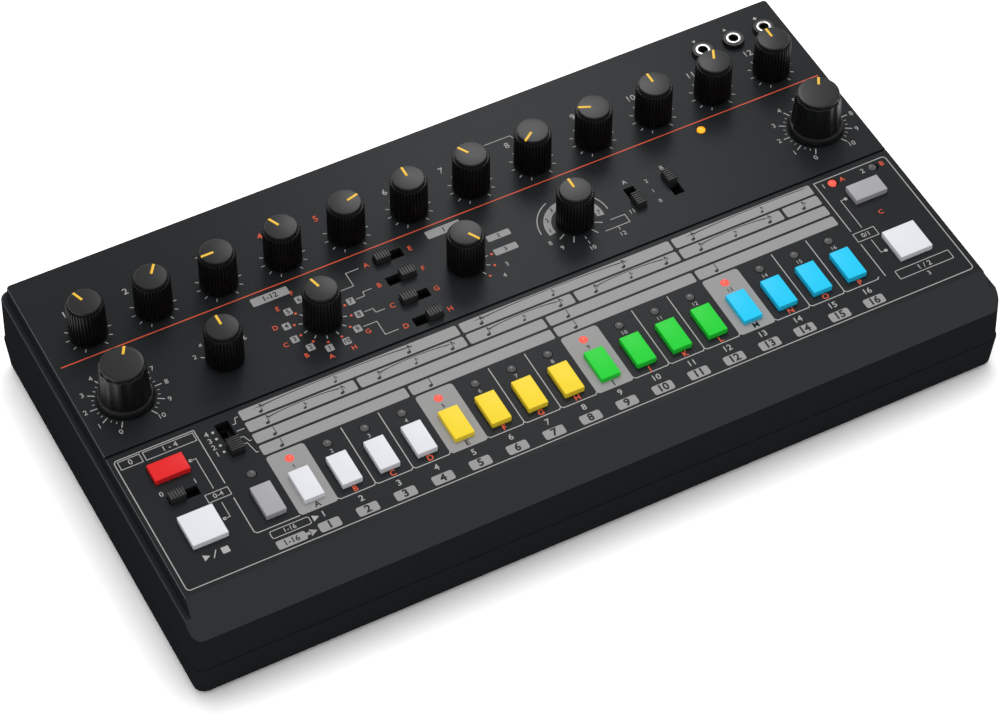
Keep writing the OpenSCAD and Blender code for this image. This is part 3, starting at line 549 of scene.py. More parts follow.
def pushButton(name, width, length):
    # a bevelled cap, its flange under the deck and the plunger below
    look = button
    cap = capBlock(name, width, length, look["up"])
    choose(cap, "faces", lambda f: f.normal.z < -0.9)
    ops.mesh.extrude_region_move()
    growBy((width + 2 * look["flange"]) / width, (length + 2 * look["flange"]) / length)
    pullUp(-look["flangeHeight"])
    ops.mesh.inset(thickness=(min(width, length) + 2 * look["flange"] - look["plunger"]) / 2 * mm)
    pullUp(-look["plungerHeight"])
    facingOut()
    underside = -deckThickness * mm + hair
    choose(cap, "edges", lambda e: any(v.co.z > underside for v in e.verts))
    ops.mesh.bevel(offset=look["edge"] * mm, segments=3, affect="EDGES")
    shaped()
    return smooth(cap, 40)


buttonPatterns = {kind: pushButton(kind + "Pattern", *button[kind]) for kind in ("step", "short", "square")}
buttons = {"function_button": ("step", "grey")}
for n in range(16):
    buttons[f"step_button_{n + 1}"] = ("step", stepColours[n // 4])
buttons.update(clear_button=("short", "red"), start_button=("square", "white"),
               pattern_button=("short", "grey"), write_button=("square", "white"))
for node, (kind, colour) in buttons.items():
    copied(buttonPatterns[kind], node + "_cap", overNode(node), finish[colour], node, node)
thrownAway(*buttonPatterns.values())
print("push buttons placed")

# slide caps
slideCap = {"length": 5.4, "up": 2.8, "ribs": 5, "ribDepth": 0.35, "edge": 0.12, "narrow": 3.7, "wide": 4.7}


def ribbedSlide(name, width):
    look = slideCap
    cap = capBlock(name, look["length"], width, look["up"])
    # cut across the top for the ribs, then sink every other strip
    cuts = 2 * look["ribs"]
    pitch = look["length"] / (cuts + 1)
    for k in range(1, cuts + 1):
        chooseAll()
        ops.mesh.bisect(plane_co=((k * pitch - look["length"] / 2) * mm, 0, 0), plane_no=(1, 0, 0))
    topHeight = look["up"] * mm
    isTop = lambda f: f.normal.z > 0.9 and f.calc_center_median().z > topHeight - hair
    strip = lambda f: int((f.calc_center_median().x / mm + look["length"] / 2) / pitch) % 2 == 1
    choose(cap, "faces", lambda f: isTop(f) and strip(f))
    pullUp(-look["ribDepth"])
    facingOut()
    shaped()
    rounded(cap, look["edge"], 2, 50)
    return smooth(cap, 40)


narrowSlide = ribbedSlide("narrowSlide", slideCap["narrow"])
wideSlide = ribbedSlide("wideSlide", slideCap["wide"])
slides = {f"voice_slide_{n}": 0 for n in range(1, 5)}
slides.update(auto_slide=0, fade_in_slide=90, fade_out_slide=90, scale_slide=90)
for node, turn in slides.items():
    copied(wideSlide if node == "scale_slide" else narrowSlide, node + "_cap", overNode(node, turn),
           finish["slider"], node, node)
thrownAway(narrowSlide, wideSlide)
print("slide caps placed:", len(slides))

# indicator lamps
lamp = {"radius": 1.5, "shoulder": 0.12, "dome": 0.5, "domeRings": 5, "ring": 0.17, "stepPitch": 13.63,
        "firstStep": 53.4, "row": -111.6, "function": 39.7, "right": ((272.9, -89.1), (289.1, -89.1)),
        "power": (245.15, -45.8)}


def domedLamp(look):
    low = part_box("indicator_lamps")[0].z
    high = deckTop + look["shoulder"] * mm
    ops.mesh.primitive_cylinder_add(vertices=36, radius=look["radius"] * mm, depth=high - low,
                                    location=(0, 0, (high + low) / 2))
    dome = begun("lampPattern")
    rises = [look["dome"] * (0.36 - 0.08 * n) for n in range(look["domeRings"])]
    domed(dome, look["radius"] * look["ring"], rises)
    shaped()
    return smooth(dome, 40)


lampPattern = domedLamp(lamp)
stepLamps = [(lamp["firstStep"] + lamp["stepPitch"] * n, lamp["row"]) for n in range(16)]
litPlaces = stepLamps[::4] + [lamp["right"][0]]
dimPlaces = [(lamp["function"], lamp["row"])] + [p for p in stepLamps if p not in litPlaces]
dimPlaces.append(lamp["right"][1])
groups = {"redLamp": litPlaces, "dimLamp": dimPlaces, "amberLamp": [lamp["power"]]}
for finishName, places in groups.items():
    for n, (x, y) in enumerate(places):
        place = Matrix.Translation((*onDeck(x, y).xy, 0))
        copied(lampPattern, f"{finishName}_{n + 1}", place, finish[finishName], "case", "indicator_lamps")
thrownAway(lampPattern)
print("lamps placed")

# headphone and signal jacks
jack = {"places": ((264.3, -13.4), (276.9, -13.4), (289.5, -13.4)), "boreRadius": 1.72, "ringRadius": 2.72,
        "collarHeight": 1.9, "up": 0.27, "down": 3.0, "round": 0.2}


def ringPiece(inner, outer, low, high, name, corners=48):
    # a round sleeve with square ends, from low to high in millimetres over the deck
    ops.mesh.primitive_circle_add(vertices=corners, radius=outer * mm, location=(0, 0, low * mm))
    ring = begun(name)
    pullUp(high - low)
    ops.mesh.extrude_region_move()
    growBy(inner / outer)
    pullUp(low - high)
    choose(ring, "edges", lambda e: all(v.co.z < low * mm + hair for v in e.verts))
    ops.mesh.bridge_edge_loops()
    facingOut()
    shaped()
    return ring


ringPattern = ringPiece(jack["boreRadius"], jack["ringRadius"], jack["collarHeight"] - jack["down"],
                        jack["collarHeight"] + jack["up"], "jackRing")
rounded(ringPattern, jack["round"], 3)
smooth(ringPattern, 40)
for n, (x, y) in enumerate(jack["places"]):
    copied(ringPattern, f"jack_ring_{n + 1}", Matrix.Translation(onDeck(x, y)), finish["steel"], "case")
thrownAway(ringPattern)
print("jack rings placed")

# metal in the sockets at the back
back = {"stem": 7.0, "toInlet": 11.5, "toUsb": 36.5, "dinPitch": 24.0, "outputHalf": 6.5,
        "nut": (3.2, 5.1, -0.6, 0.12), "din": (6.9, 7.37, -6.9, 0.03), "edge": 0.1,
        "pinRadius": 1.06, "pinLength": 9.4, "pinIn": 0.4, "pinRound": 0.35, "shell": (8.47, 8.9, 7.77),
        "sheet": 0.3}
powerMiddle = middleOf("power_button")
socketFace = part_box("power_button")[0].y + back["stem"] * mm
socketsLow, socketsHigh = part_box("rear_sockets")
facingBack = Matrix.Rotation(-math.pi / 2, 4, "X")


def atBack(x, y, z):
    return Matrix.Translation((x, y, z)) @ facingBack


nutPattern = ringPiece(*back["nut"], "nutPattern")
rounded(nutPattern, back["edge"], 2)
smooth(nutPattern, 40)
copied(nutPattern, "output_nut",
       atBack(socketsLow.x + back["outputHalf"] * mm, socketsHigh.y, powerMiddle.z), finish["steel"], "case")
dinPattern = ringPiece(*back["din"], "dinPattern")
smooth(dinPattern, 40)
for n in (1, 2):
    x = powerMiddle.x - (back["toUsb"] + n * back["dinPitch"]) * mm
    copied(dinPattern, f"din_shell_{n}", atBack(x, socketFace, middleOf("rear_sockets").z),
           finish["steel"], "case")
ops.mesh.primitive_cylinder_add(vertices=24, radius=back["pinRadius"] * mm, depth=back["pinLength"] * mm,
                                location=(0, 0, -(back["pinLength"] / 2 + back["pinIn"]) * mm))
pinPattern = added("pinPattern")
rounded(pinPattern, back["pinRound"], 3)
smooth(pinPattern, 40)
copied(pinPattern, "inlet_pin", atBack(powerMiddle.x - back["toInlet"] * mm, socketFace, powerMiddle.z),
       finish["steel"], "case")
wide, deep, high = back["shell"]
ops.mesh.primitive_cube_add(size=1, location=(0, 0, -deep / 2 * mm),
                            scale=(wide * mm, high * mm, deep * mm))
shellPattern = begun("shellPattern")
choose(shellPattern, "faces", lambda f: abs(f.normal.z) > 0.9)
ops.mesh.delete(type="FACE")
shaped()
withModifier(shellPattern, "SOLIDIFY", thickness=back["sheet"] * mm, offset=-1.0)
smooth(shellPattern, 30)
copied(shellPattern, "usb_shell", atBack(powerMiddle.x - back["toUsb"] * mm, socketFace, powerMiddle.z),
       finish["steel"], "case")
thrownAway(nutPattern, dinPattern, pinPattern, shellPattern)
print("back sockets finished")

# panel print: flat pieces are gathered by ink, then all of one ink are raised together
ink = {"sunk": 0.03, "line": 0.34, "fine": 0.27, "frame": 0.28, "capital": 0.73, "stagger": 0.004,
       "overlap": 0.8, "curveSteps": 3, "dotCorners": 20, "arcCorners": 180}
inkUp = {"lightInk": 0.03, "greyInk": 0.025, "orangeInk": 0.035, "darkInk": 0.05}
sheets = {colour: [] for colour in inkUp}


def joined(pieces):
    ops.object.select_all(action="DESELECT")
    for piece in pieces:
        piece.select_set(True)
    context.view_layer.objects.active = pieces[0]
    if len(pieces) > 1:
        ops.object.join()
    settled()
    return pieces[0]


def plate(x, y, width, height, turn=0.0):
    ops.mesh.primitive_plane_add(size=1, location=onDeck(x, y), rotation=(0, 0, turn))
    context.object.scale = (width * mm, height * mm, 1)
    return context.object


def boxAt(x, y, width, height):
    return x - width / 2, x + width / 2, y - height / 2, y + height / 2


def plates(colour, boxes, corner=0.0, outline=0.0):
    # each box is left, right, front and back; with an outline only its frame is printed
    sheet = joined([plate((a + b) / 2, (c + d) / 2, b - a, abs(d - c)) for a, b, c, d in boxes])
    shaping(sheet)
    chooseAll()
    if corner:
        ops.mesh.bevel(offset=corner * mm, segments=4, affect="VERTICES")
    if outline:
        ops.mesh.inset(thickness=outline * mm, use_individual=True)
        ops.mesh.delete(type="FACE")
    shaped()
    sheets[colour].append(sheet)
    return sheet


def lines(colour, runs, width):
    # strokes that meet lie a hair apart in height, so their faces never coincide
    strokes = []
    for run in runs:
        overlap = width * ink["overlap"] if len(run) > 2 else 0
        for (x1, y1), (x2, y2) in zip(run, run[1:]):
            length = math.hypot(x2 - x1, y2 - y1) + overlap
            stroke = plate((x1 + x2) / 2, (y1 + y2) / 2, length, width, math.atan2(y2 - y1, x2 - x1))
            stroke.location.z += len(strokes) % 3 * ink["stagger"] * mm
            strokes.append(stroke)
    sheets[colour].append(joined(strokes))


def around(x, y, radius, angle):
    # angles run clockwise from straight back
    turn = math.radians(angle)
    return x + radius * math.sin(turn), y + radius * math.cos(turn)


def spokes(colour, x, y, angles, inner, outer, width):
    marks = [plate(*around(x, y, (inner + outer) / 2, angle), width, outer - inner, -math.radians(angle))
             for angle in angles]
    sheets[colour].append(joined(marks))


def polygon(x, y, radius, corners, turn=0.0):
    ops.mesh.primitive_circle_add(vertices=corners, radius=radius * mm, fill_type="NGON",
                                  location=onDeck(x, y), rotation=(0, 0, math.radians(turn)))
    return context.object


def symbols(colour, shapes):
    sheets[colour].append(joined([polygon(*shape) for shape in shapes]))


def dots(colour, places, radius):
    symbols(colour, [(*place, radius, ink["dotCorners"]) for place in places])


def words(colour, text, x, y, height, thick):
    ops.object.text_add(location=onDeck(x, y))
    label = context.object
    label.data.body = str(text)
    label.data.size = height / ink["capital"] * mm
    label.data.align_x = "CENTER"
    label.data.align_y = "CENTER"
    label.data.offset = thick * mm * 0.5
    label.data.resolution_u = ink["curveSteps"]
    alone(label)
    ops.object.convert(target="MESH")
    shaping(label)
    chooseAll()
    ops.mesh.remove_doubles(threshold=1e-6)
    shaped()
    settled()
    sheets[colour].append(label)


def wordsAround(colour, texts, middle, radius, angles, height, thick):
    for text, angle in zip(texts, angles):
        words(colour, text, *around(*middle, radius, angle), height, thick)


def allWords(table):
    # by ink, height of the capitals and thickening: text and place
    for (colour, height, thick), rows in table.items():
        for text, x, y in rows:
            words(colour, text, x, y, height, thick)


def arcBand(colour, x, y, radius, width, start, end, tall=1.0):
    # part of a ring about a place, from start to end clockwise; tall squeezes it into a low arch
    ops.mesh.primitive_circle_add(vertices=ink["arcCorners"], radius=radius * mm)
    band = context.object
    shaping(band)
    choose(band, "verts", lambda v: not start <= math.degrees(math.atan2(v.co.x, v.co.y)) <= end)
    ops.mesh.delete(type="VERT")
    chooseAll()
    ops.mesh.extrude_region_move()
    growBy((radius + width) / radius)
    shaped()
    band.scale = (1, tall, 1)
    band.location = onDeck(x, y)
    sheets[colour].append(joined([band]))


def printed(colour):
    sheet = joined(sheets[colour])
    sheet.name = "print_" + colour
    shaping(sheet)
    chooseAll()
    moveUp(-ink["sunk"])
    pullUp(ink["sunk"] + inkUp[colour])
    facingOut()
    shaped()
    sheet.data.materials.clear()
    sheet.data.materials.append(finish[colour])
    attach(sheet, "case")


# the upper panel: a long red line, dial marks and plain numbers in place of words
upper = {
    "firstKnob": 16.56, "knobPitch": 24.08, "knobRow": -32.3, "redLine": ((2.4, -41.9), (295.3, -41.9)),
    "redWidth": 0.42, "ticks": (6.9, 8.2, 0.34), "number": (2.7, 0.1), "orangeNumbers": (4, 5), "numbers": (
        (12.5, -21), (35, -21), (63, -19.5), (86, -19.5), (106.5, -21), (133, -21), (155, -21), (181, -21),
        (208, -19.5), (230.5, -21), (255, -21), (278.5, -21)),
    "dials": ((16.56, -63.4), (281.44, -63.4)), "longTicks": (10.4, 12.9, 0.36),
    "shortTicks": (10.6, 11.5, 0.24), "dialNumberRing": 14.6, "dialNumber": (2.1, 0.04)}
lines("orangeInk", [upper["redLine"]], upper["redWidth"])
dialAngles = range(-150, 151, 30)
for n, (x, y) in enumerate(upper["numbers"]):
    spokes("lightInk", upper["firstKnob"] + upper["knobPitch"] * n, upper["knobRow"], dialAngles,
           *upper["ticks"])
    words("orangeInk" if n + 1 in upper["orangeNumbers"] else "lightInk", n + 1, x, y, *upper["number"])
for dial in upper["dials"]:
    spokes("lightInk", *dial, dialAngles, *upper["longTicks"])
    spokes("lightInk", *dial, [a for a in range(-150, 151, 10) if a % 30], *upper["shortTicks"])
    wordsAround("lightInk", range(11), dial, upper["dialNumberRing"], dialAngles, *upper["dialNumber"])

# the variation, instrument, pattern and fill selectors, and the voice and fade switches
selector = {
    "variation": (52.7, -63.4), "instrument": (88.8, -63.4), "pattern": (143.0, -63.4),
    "fill": (185.1, -63.4), "ticks": (6.9, 8.3, 0.42), "dot": 0.48, "small": (1.9, 0.06),
    "variationRing": 10.2, "instrumentDots": 9.75, "boxRing": 12.4, "box": (2.7, 3.0),
    "boxNumber": (1.9, 0.08), "letterRing": 16.2, "letter": (2.0, 0.08), "patternDots": 9.8,
    "arcs": ((-90, -20), (20, 90)), "arc": (12.8, 0.35), "band": (8.1, 2.7, -102, 102), "bandRing": 9.5,
    "bandNumber": (1.8, 0.06), "fillTicks": (6.9, 9.6, 0.42)}
voice = {"rows": (-48.1, -58.3, -68.5, -78.7), "left": 112.5, "right": 129.2, "letter": (2.1, 0.08)}
variationAngles = range(-60, 61, 30)
instrumentAngles = range(-165, 166, 30)
middle = selector["variation"]
wordsAround("lightInk", (2, 4, 8, 12, 16), middle, selector["variationRing"], variationAngles,
            *selector["small"])
spokes("lightInk", *middle, variationAngles, *selector["ticks"])
middle = selector["instrument"]
spokes("lightInk", *middle, instrumentAngles, *selector["ticks"])
dots("orangeInk", [around(*middle, selector["instrumentDots"], a) for a in instrumentAngles], selector["dot"])
boxAngles = [a for a in instrumentAngles if a not in (15, 45)]
boxes = [boxAt(*around(*middle, selector["boxRing"], a), *selector["box"]) for a in boxAngles]
plates("greyInk", boxes, 0.4)
wordsAround("darkInk", range(1, 11), middle, selector["boxRing"], boxAngles, *selector["boxNumber"])
wordsAround("orangeInk", "ABCDEFGH", middle, selector["letterRing"], (*range(-165, 0, 30), 135, 165),
            *selector["letter"])
plates("greyInk", [(70.6, 84.3, -47.5, -43.8)], 0.5)
lines("lightInk", [[(99, -54.5), (104.7, -54.5), (104.7, -48.2), (109.5, -48.2)],
                   [(103, -60.2), (106, -60.2), (106.3, -58.3), (109.5, -58.3)],
                   [(103, -66.5), (106, -66.5), (106.3, -68.5), (109.5, -68.5)],
                   [(99.8, -72.2), (104.7, -72.2), (104.7, -78.7), (109.5, -78.7)]], ink["fine"])
for row, left, right in zip(voice["rows"], "ABCD", "EFGH"):
    words("orangeInk", left, voice["left"], row, *voice["letter"])
    words("orangeInk", right, voice["right"], row, *voice["letter"])
middle = selector["pattern"]
dots("orangeInk", [around(*middle, selector["patternDots"], a) for a in (90, 120, 150)], selector["dot"])
spokes("lightInk", *middle, (60, 90, 120, 150), *selector["ticks"])
plates("greyInk", [(136.8, 150, -47.5, -43.8), (154.5, 163.3, -58.2, -55.4), (153.9, 162.7, -64.9, -62)], 0.5)
middle = selector["fill"]
for ends in selector["arcs"]:
    arcBand("lightInk", *middle, *selector["arc"], *ends)
arcBand("greyInk", *middle, *selector["band"])
wordsAround("darkInk", range(1, 8), middle, selector["bandRing"], range(-90, 91, 30), *selector["bandNumber"])
spokes("lightInk", *middle, (-150, -120, 120, 150), *selector["fillTicks"])
lines("lightInk", [[(185, -71), (185, -72.4)], [(185, -73.3), (185, -74.7)]], ink["fine"])
lines("lightInk", [[(196.5, -68.4), (202, -68.4), (202, -72.2), (192.5, -72.2)],
                   [(197.3, -72.2), (197.3, -74)],
                   [(174, -17.2), (184, -17.2), (184.6, -18.5)]], ink["fine"])
allWords({
    ("darkInk", 2.3, 0.1): (("1-12", 77.4, -45.7),),
    ("darkInk", 2.3, 0.08): ((1, 143.4, -45.7),),
    ("darkInk", 1.7, 0.08): ((2, 158.9, -56.8), (3, 158.3, -63.4)),
    ("lightInk", 1.9, 0.06): ((3, 155.5, -69.8), (4, 152.5, -74.0), (8, 173, -68.4), (9, 175.8, -72.1),
                              (10, 185, -76.8), (11, 205, -68.4), (12, 197.3, -75.9), ("A", 209, -55.3),
                              ("B", 223.8, -55.3)),
    ("lightInk", 1.7, 0.06): ((2, 216.1, -58.4), (1, 216.1, -63.4), (0, 216.1, -68.6))})
print("upper panel printed")

# marks at the jacks: in, out and a diamond
symbols("lightInk", ((264.3, -6.8, 0.8, 3, -180), (276.9, -6.8, 0.8, 3), (289.6, -6.8, 0.8, 4, -90)))

# the lower panel: borders, step cells, rhythm bars with their notes
lower = {"border": (1.6, 295.8, -145.2, -86.3), "borderCorner": 1.5, "sections": (30.7, 266.8), "open": -100,
         "cells": 46.6, "cellFoot": -134.3, "cellTop": -107.8, "cornerCut": 0.8,
         "patch": (46.5, 60.3, -134.5, -107.6), "patchCorner": 1.3, "dot": 0.65}
border = plates("lightInk", [lower["border"]], lower["borderCorner"], ink["line"])
shaping(border)
for x in lower["sections"]:
    chooseAll()
    ops.mesh.bisect(plane_co=onDeck(x, 0), plane_no=(1, 0, 0))
# the border is open over the rhythm bars
openFrom, openTo = [onDeck(x, lower["open"]) for x in lower["sections"]]
choose(border, "faces", lambda f: openFrom.x < f.calc_center_median().x < openTo.x
       and f.calc_center_median().y > openFrom.y)
ops.mesh.delete(type="FACE")
shaped()
lines("lightInk", [[(30.5, -86.5), (30.5, -111.2)],
                   [(30.5, -117.9), (30.5, -133.4), (31.4, -134.3), (46.3, -134.3)],
                   [(267, -86.5), (267, -111.5)], [(267, -118), (267, -134.2)]], ink["line"])
plates("lightInk", [(2.8, 10.8, -90.9, -87.1), (11.7, 29.9, -90.9, -87.1), (22.4, 30.7, -116.3, -112.6),
                    (266.7, 275.2, -117, -112.8)], 0, ink["frame"])
dots("lightInk", [(24.4, -97.5), (24.4, -124.2), (273.2, -97.6), (273.2, -124.3)], lower["dot"])
lines("lightInk", [[(24.4, -97.5), (26.3, -97.5), (26.3, -111.3)],
                   [(26.3, -117.8), (26.3, -124.2), (24.4, -124.2)],
                   [(273.2, -97.6), (271.3, -97.6), (271.3, -111.5)],
                   [(271.3, -118), (271.3, -124.3), (273.2, -124.3)]], ink["fine"])
cut = lower["cornerCut"]
foot = lower["cellFoot"]
for n in range(16):
    left = lower["cells"] + lamp["stepPitch"] * n
    right = left + lamp["stepPitch"]
    if n % 4:  # the first cell of each four is a light patch instead
        lines("lightInk", [[(left, foot + cut), (left + cut, foot), (right - cut, foot),
                            (right, foot + cut)]], ink["line"])
        if n % 4 < 3:
            lines("lightInk", [[(right, foot + cut), (right, lower["cellTop"])]], ink["line"])
patchLeft, patchRight, patchFront, patchBack = lower["patch"]
patchPlaces = [4 * lamp["stepPitch"] * n for n in range(4)]
plates("greyInk", [(patchLeft + x, patchRight + x, patchFront, patchBack) for x in patchPlaces],
       lower["patchCorner"])

bars = {"rows": ((-90.5, -86.0), (-95.9, -91.4), (-101.3, -96.9), (-106.7, -102.3)), "corner": 0.7,
        "end": 265, "gap": 1.1, "ends": (
            (46.6, 127.7, 209.6, 265), (46.6, 86.9, 127.7, 168.7, 209.6, 250.6, 265), (46.6, 155.1, 265),
            (46.6, 100.5, 155.1, 209.6, 265))}
halfGap = bars["gap"] / 2
for (front, rear), ends in zip(bars["rows"], bars["ends"]):
    plates("greyInk", [(a + (halfGap if n else 0), b - (halfGap if b < bars["end"] else 0), front, rear)
                       for n, (a, b) in enumerate(zip(ends, ends[1:]))], bars["corner"])

note = {"large": 1.08, "small": 0.8, "head": (1.5, 1.05), "headRadius": 0.5, "headTurn": 0.35,
        "stem": (0.6, 1.45, 0.26, 2.9, 0),
        "flag": ((0.95, 2.35, 0.32, 1.05, 0.75), (1.35, 1.75, 0.28, 0.9, 0.2))}


def noteMark(size, flags=()):
    # head, stem and, on an eighth note, the flag; drawn about the middle of its head
    ops.mesh.primitive_circle_add(vertices=ink["dotCorners"], radius=note["headRadius"] * mm,
                                  fill_type="NGON", location=(0, 0, deckTop),
                                  rotation=(0, 0, note["headTurn"]))
    context.object.scale = (*note["head"], 1)
    parts = [context.object]
    for x, y, width, height, turn in (note["stem"], *flags):
        ops.mesh.primitive_plane_add(size=1, location=(x * mm, y * mm, deckTop), rotation=(0, 0, turn))
        context.object.scale = (width * mm, height * mm, 1)
        parts.append(context.object)
    mark = joined(parts)
    mark.data.transform(Matrix.Diagonal((size, size, 1, 1)))
    return mark


def notePlace(x, y):
    return Matrix.Translation((*onDeck(x, y).xy, 0))


largeNote = noteMark(note["large"], note["flag"])
smallNote = noteMark(note["small"], note["flag"])
quarterNote = noteMark(note["large"])
score = (
    (largeNote, -89.4, (53.6, 108.2, 135.5, 190, 217.3)), (smallNote, -89.4, (80.9, 162.8, 244.6)),
    (largeNote, -94.8, (53.6, 80.9, 94.5, 121.8, 135.5, 162.8, 176.4, 203.7, 217.3, 244.6, 258.2)),
    (smallNote, -94.8, (67.2, 108.2, 149, 190, 231)),
    (quarterNote, -100.2, (53.6, 162.8)), (quarterNote, -105.6, (53.6, 108.2, 162.8, 217.3)))
for pattern, row, columns in score:
    sheets["darkInk"] += [twin(pattern, "note", notePlace(column, row)) for column in columns]
sheets["lightInk"].append(twin(quarterNote, "tempoNote", notePlace(15.5, -47.2)))
thrownAway(largeNote, smallNote, quarterNote)
# the ties between notes; the last one of a row is cut off at the bars' end
ties = {"spans": {-87.45: ((53.6, 108.2), (135.5, 190), (217.3, 272)),
                  -92.8: ((53.6, 80.9), (94.5, 121.8), (135.5, 162.8), (176.4, 203.7), (217.3, 244.6))},
        "rise": 0.85, "inset": 2.2, "width": 0.27, "sweep": 62, "cutSweep": 34.1, "cutPast": 270}
sweep = math.radians(ties["sweep"])
for row, spans in ties["spans"].items():
    for a, b in spans:
        radius = (b - a - 1.5 * ties["inset"]) / 2 / math.sin(sweep)
        flat = ties["rise"] / (radius * (1 - math.cos(sweep)))
        arcBand("darkInk", (a + b + ties["inset"] / 2) / 2, row + ties["rise"] - radius * flat, radius,
                ties["width"] / flat, -ties["sweep"],
                ties["sweep"] if b < ties["cutPast"] else ties["cutSweep"], flat)
print("rhythm bars printed")

# numbers of the steps, their pill boxes and the small marks
stepText = {"row": -137.2, "size": (2.5, 0.12), "pillRow": -142.0, "pillSize": (7.6, 3.9),
            "pillText": (3.0, 0.26), "pillCorner": 0.8, "codeRow": -132.7, "code": (2.3, 0.12),
            "lampRow": -115.2, "lampText": (1.7, 0.04)}
columns = [x for x, y in stepLamps]
for n, column in enumerate(columns, 1):
    onPatch = n % 4 == 1
    words("lightInk", n, column, stepText["row"], *stepText["size"])
    words("darkInk", n, column, stepText["pillRow"], *stepText["pillText"])
    words("darkInk" if onPatch else "orangeInk", chr(64 + n), column, stepText["codeRow"], *stepText["code"])
    words("darkInk" if onPatch else "lightInk", n, column, stepText["lampRow"], *stepText["lampText"])
plates("greyInk", [boxAt(column, stepText["pillRow"], *stepText["pillSize"]) for column in columns],
       stepText["pillCorner"])
plates("lightInk", [(34.5, 48.6, -139.0, -135.7)], 0.8, ink["frame"])
plates("greyInk", [(34.6, 44.9, -143.9, -140.3)], 0.7)
lines("greyInk", [[(44.9, -142.1), (46.6, -142.1)]], 1.2)
symbols("greyInk", ((47.2, -142.1, 1.7, 3, -90),))
# the arrow before the step numbers and the play mark by the start button
symbols("lightInk", ((50.2, -137.3, 1.5, 3, -90), (12.5, -135.6, 1.5, 3, -90)))

# the scale switch, the start button and the buttons on the right
scaleRows = (-90.3, -93.3, -96.3, -99.3)
dots("lightInk", [(35.7, row) for row in scaleRows], 0.5)
lines("lightInk", [[(43, -90.3), (44, -90.3), (44.7, -88), (45.7, -88)], [(43, -93.4), (45.7, -93.4)],
                   [(43, -96.3), (44, -96.3), (45, -98.9), (45.7, -98.9)],
                   [(43, -99.3), (44, -99.3), (45, -104.3), (45.7, -104.3)]], ink["fine"])
plates("lightInk", [(18.1, 20.7, -136.9, -134.3)], 0.2)
lines("lightInk", [[(14.8, -137.0), (16.6, -134.2)]], 0.35)
plates("lightInk", [(270.7, 292.2, -138.0, -133.8)], 0.4, ink["frame"])
allWords({
    ("darkInk", 2.3, 0.1): (("1-16", 39.7, -142.1),),
    ("lightInk", 2.2, 0.06): ((0, 6.8, -89.0),),
    ("lightInk", 2.2, 0.08): (("1 - 4", 20.8, -89.0), ("1 / 2", 281.4, -136),
                              *[(4 - n, 33.4, row) for n, row in enumerate(scaleRows)]),
    ("lightInk", 2.1, 0.06): ((0, 10.3, -105.9), (1, 22.3, -105.9)),
    ("lightInk", 2.1, 0.08): ((1, 269.5, -89.1), (2, 285.2, -89.1)),
    ("lightInk", 2.0, 0.08): (("0-4", 26.6, -114.4), ("0/1", 271.0, -114.9)),
    ("lightInk", 1.9, 0.06): (("1-16", 41.2, -137.35), (3, 281, -139.9)),
    ("orangeInk", 2.1, 0.08): (("A", 276.9, -89.1), ("B", 293, -89.1)),
    ("orangeInk", 2.0, 0.08): (("C", 281, -108.4),)})
for colour in sheets:
    printed(colour)
print("lower panel printed")

# stage, light and camera
stage = {"floor": 60.0, "floorColour": 0.9, "floorSeen": 1.5, "world": 0.64,
         "mainPlace": (0.12, 0.4, 1.7), "mainAim": (0, 0, 0.02), "mainSize": 0.9, "mainPower": 12.0,
         "glintPlace": (0.189, 0.344, 0.423), "glintAim": (0.03, 0.04, 0.05), "glintSize": 0.2,
         "glintPower": 0.62}
ops.mesh.primitive_plane_add(size=stage["floor"], location=(0, 0, 0))
floor = added("floor")
floorMaterial = bpy.data.materials.new("paleFloor")
floorMaterial.use_nodes = True
tree = floorMaterial.node_tree
tree.nodes.remove(tree.nodes["Principled BSDF"])
path = tree.nodes.new("ShaderNodeLightPath")
seen = tree.nodes.new("ShaderNodeMath")
seen.operation = "ADD"
seenAny = tree.nodes.new("ShaderNodeMath")
seenAny.operation = "ADD"
seenAny.use_clamp = True
plain = tree.nodes.new("ShaderNodeBsdfDiffuse")
plain.inputs["Color"].default_value = (*[stage["floorColour"]] * 3, 1)
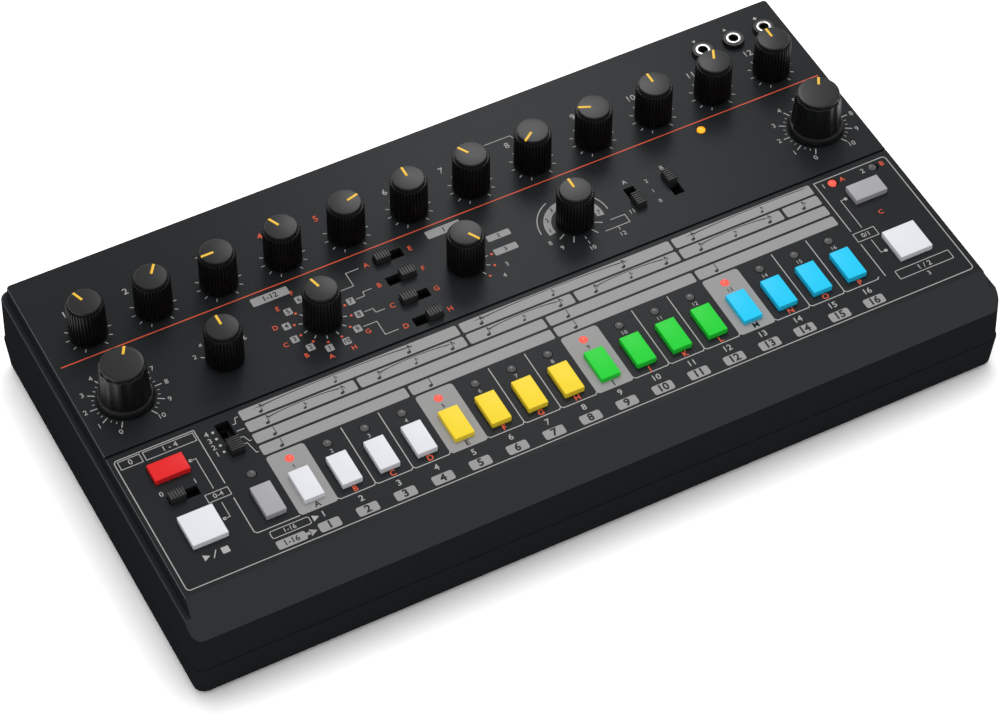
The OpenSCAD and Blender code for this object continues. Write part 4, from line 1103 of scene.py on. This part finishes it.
bright = tree.nodes.new("ShaderNodeBsdfDiffuse")
bright.inputs["Color"].default_value = (*[stage["floorSeen"]] * 3, 1)
mix = tree.nodes.new("ShaderNodeMixShader")
tree.links.new(path.outputs["Is Camera Ray"], seen.inputs[0])
tree.links.new(path.outputs["Is Glossy Ray"], seen.inputs[1])
tree.links.new(seen.outputs[0], seenAny.inputs[0])
tree.links.new(path.outputs["Is Transmission Ray"], seenAny.inputs[1])
tree.links.new(seenAny.outputs[0], mix.inputs["Fac"])
tree.links.new(plain.outputs["BSDF"], mix.inputs[1])
tree.links.new(bright.outputs["BSDF"], mix.inputs[2])
tree.links.new(mix.outputs["Shader"], tree.nodes["Material Output"].inputs["Surface"])
floor.data.materials.append(floorMaterial)


def softLamp(name, place, aim, size, power):
    ops.object.light_add(type="AREA", location=place)
    light = added(name)
    light.data.shape = "SQUARE"
    light.data.size = size
    light.data.energy = power
    light.rotation_euler = (Vector(aim) - Vector(place)).to_track_quat("-Z", "Y").to_euler()
    return light


# the main lamp gives the light and the soft shadow, the small one only the sheen across the deck
mainLamp = softLamp("mainLamp", stage["mainPlace"], stage["mainAim"], stage["mainSize"], stage["mainPower"])
mainLamp.visible_glossy = False
glintLamp = softLamp("glintLamp", stage["glintPlace"], stage["glintAim"], stage["glintSize"],
                     stage["glintPower"])
glintLamp.visible_diffuse = False
world = bpy.data.worlds.new("softRoom")
context.scene.world = world
world.use_nodes = True
background = world.node_tree.nodes["Background"]
background.inputs["Color"].default_value = (1, 1, 1, 1)
background.inputs["Strength"].default_value = stage["world"]

view = {"place": (-372.2, -713.3, 968.95), "down": 50.325, "turn": -27.59, "lens": 130.15, "sensor": 36,
        "clipStart": 0.01}
ops.object.camera_add(location=[c * mm for c in view["place"]],
                      rotation=(math.radians(90 - view["down"]), 0, math.radians(view["turn"])))
camera = added("camera")
camera.data.lens = view["lens"]
camera.data.sensor_width = view["sensor"]
camera.data.clip_start = view["clipStart"]
context.scene.camera = camera
context.scene.view_settings.view_transform = "Standard"
print("stage, light and camera ready")
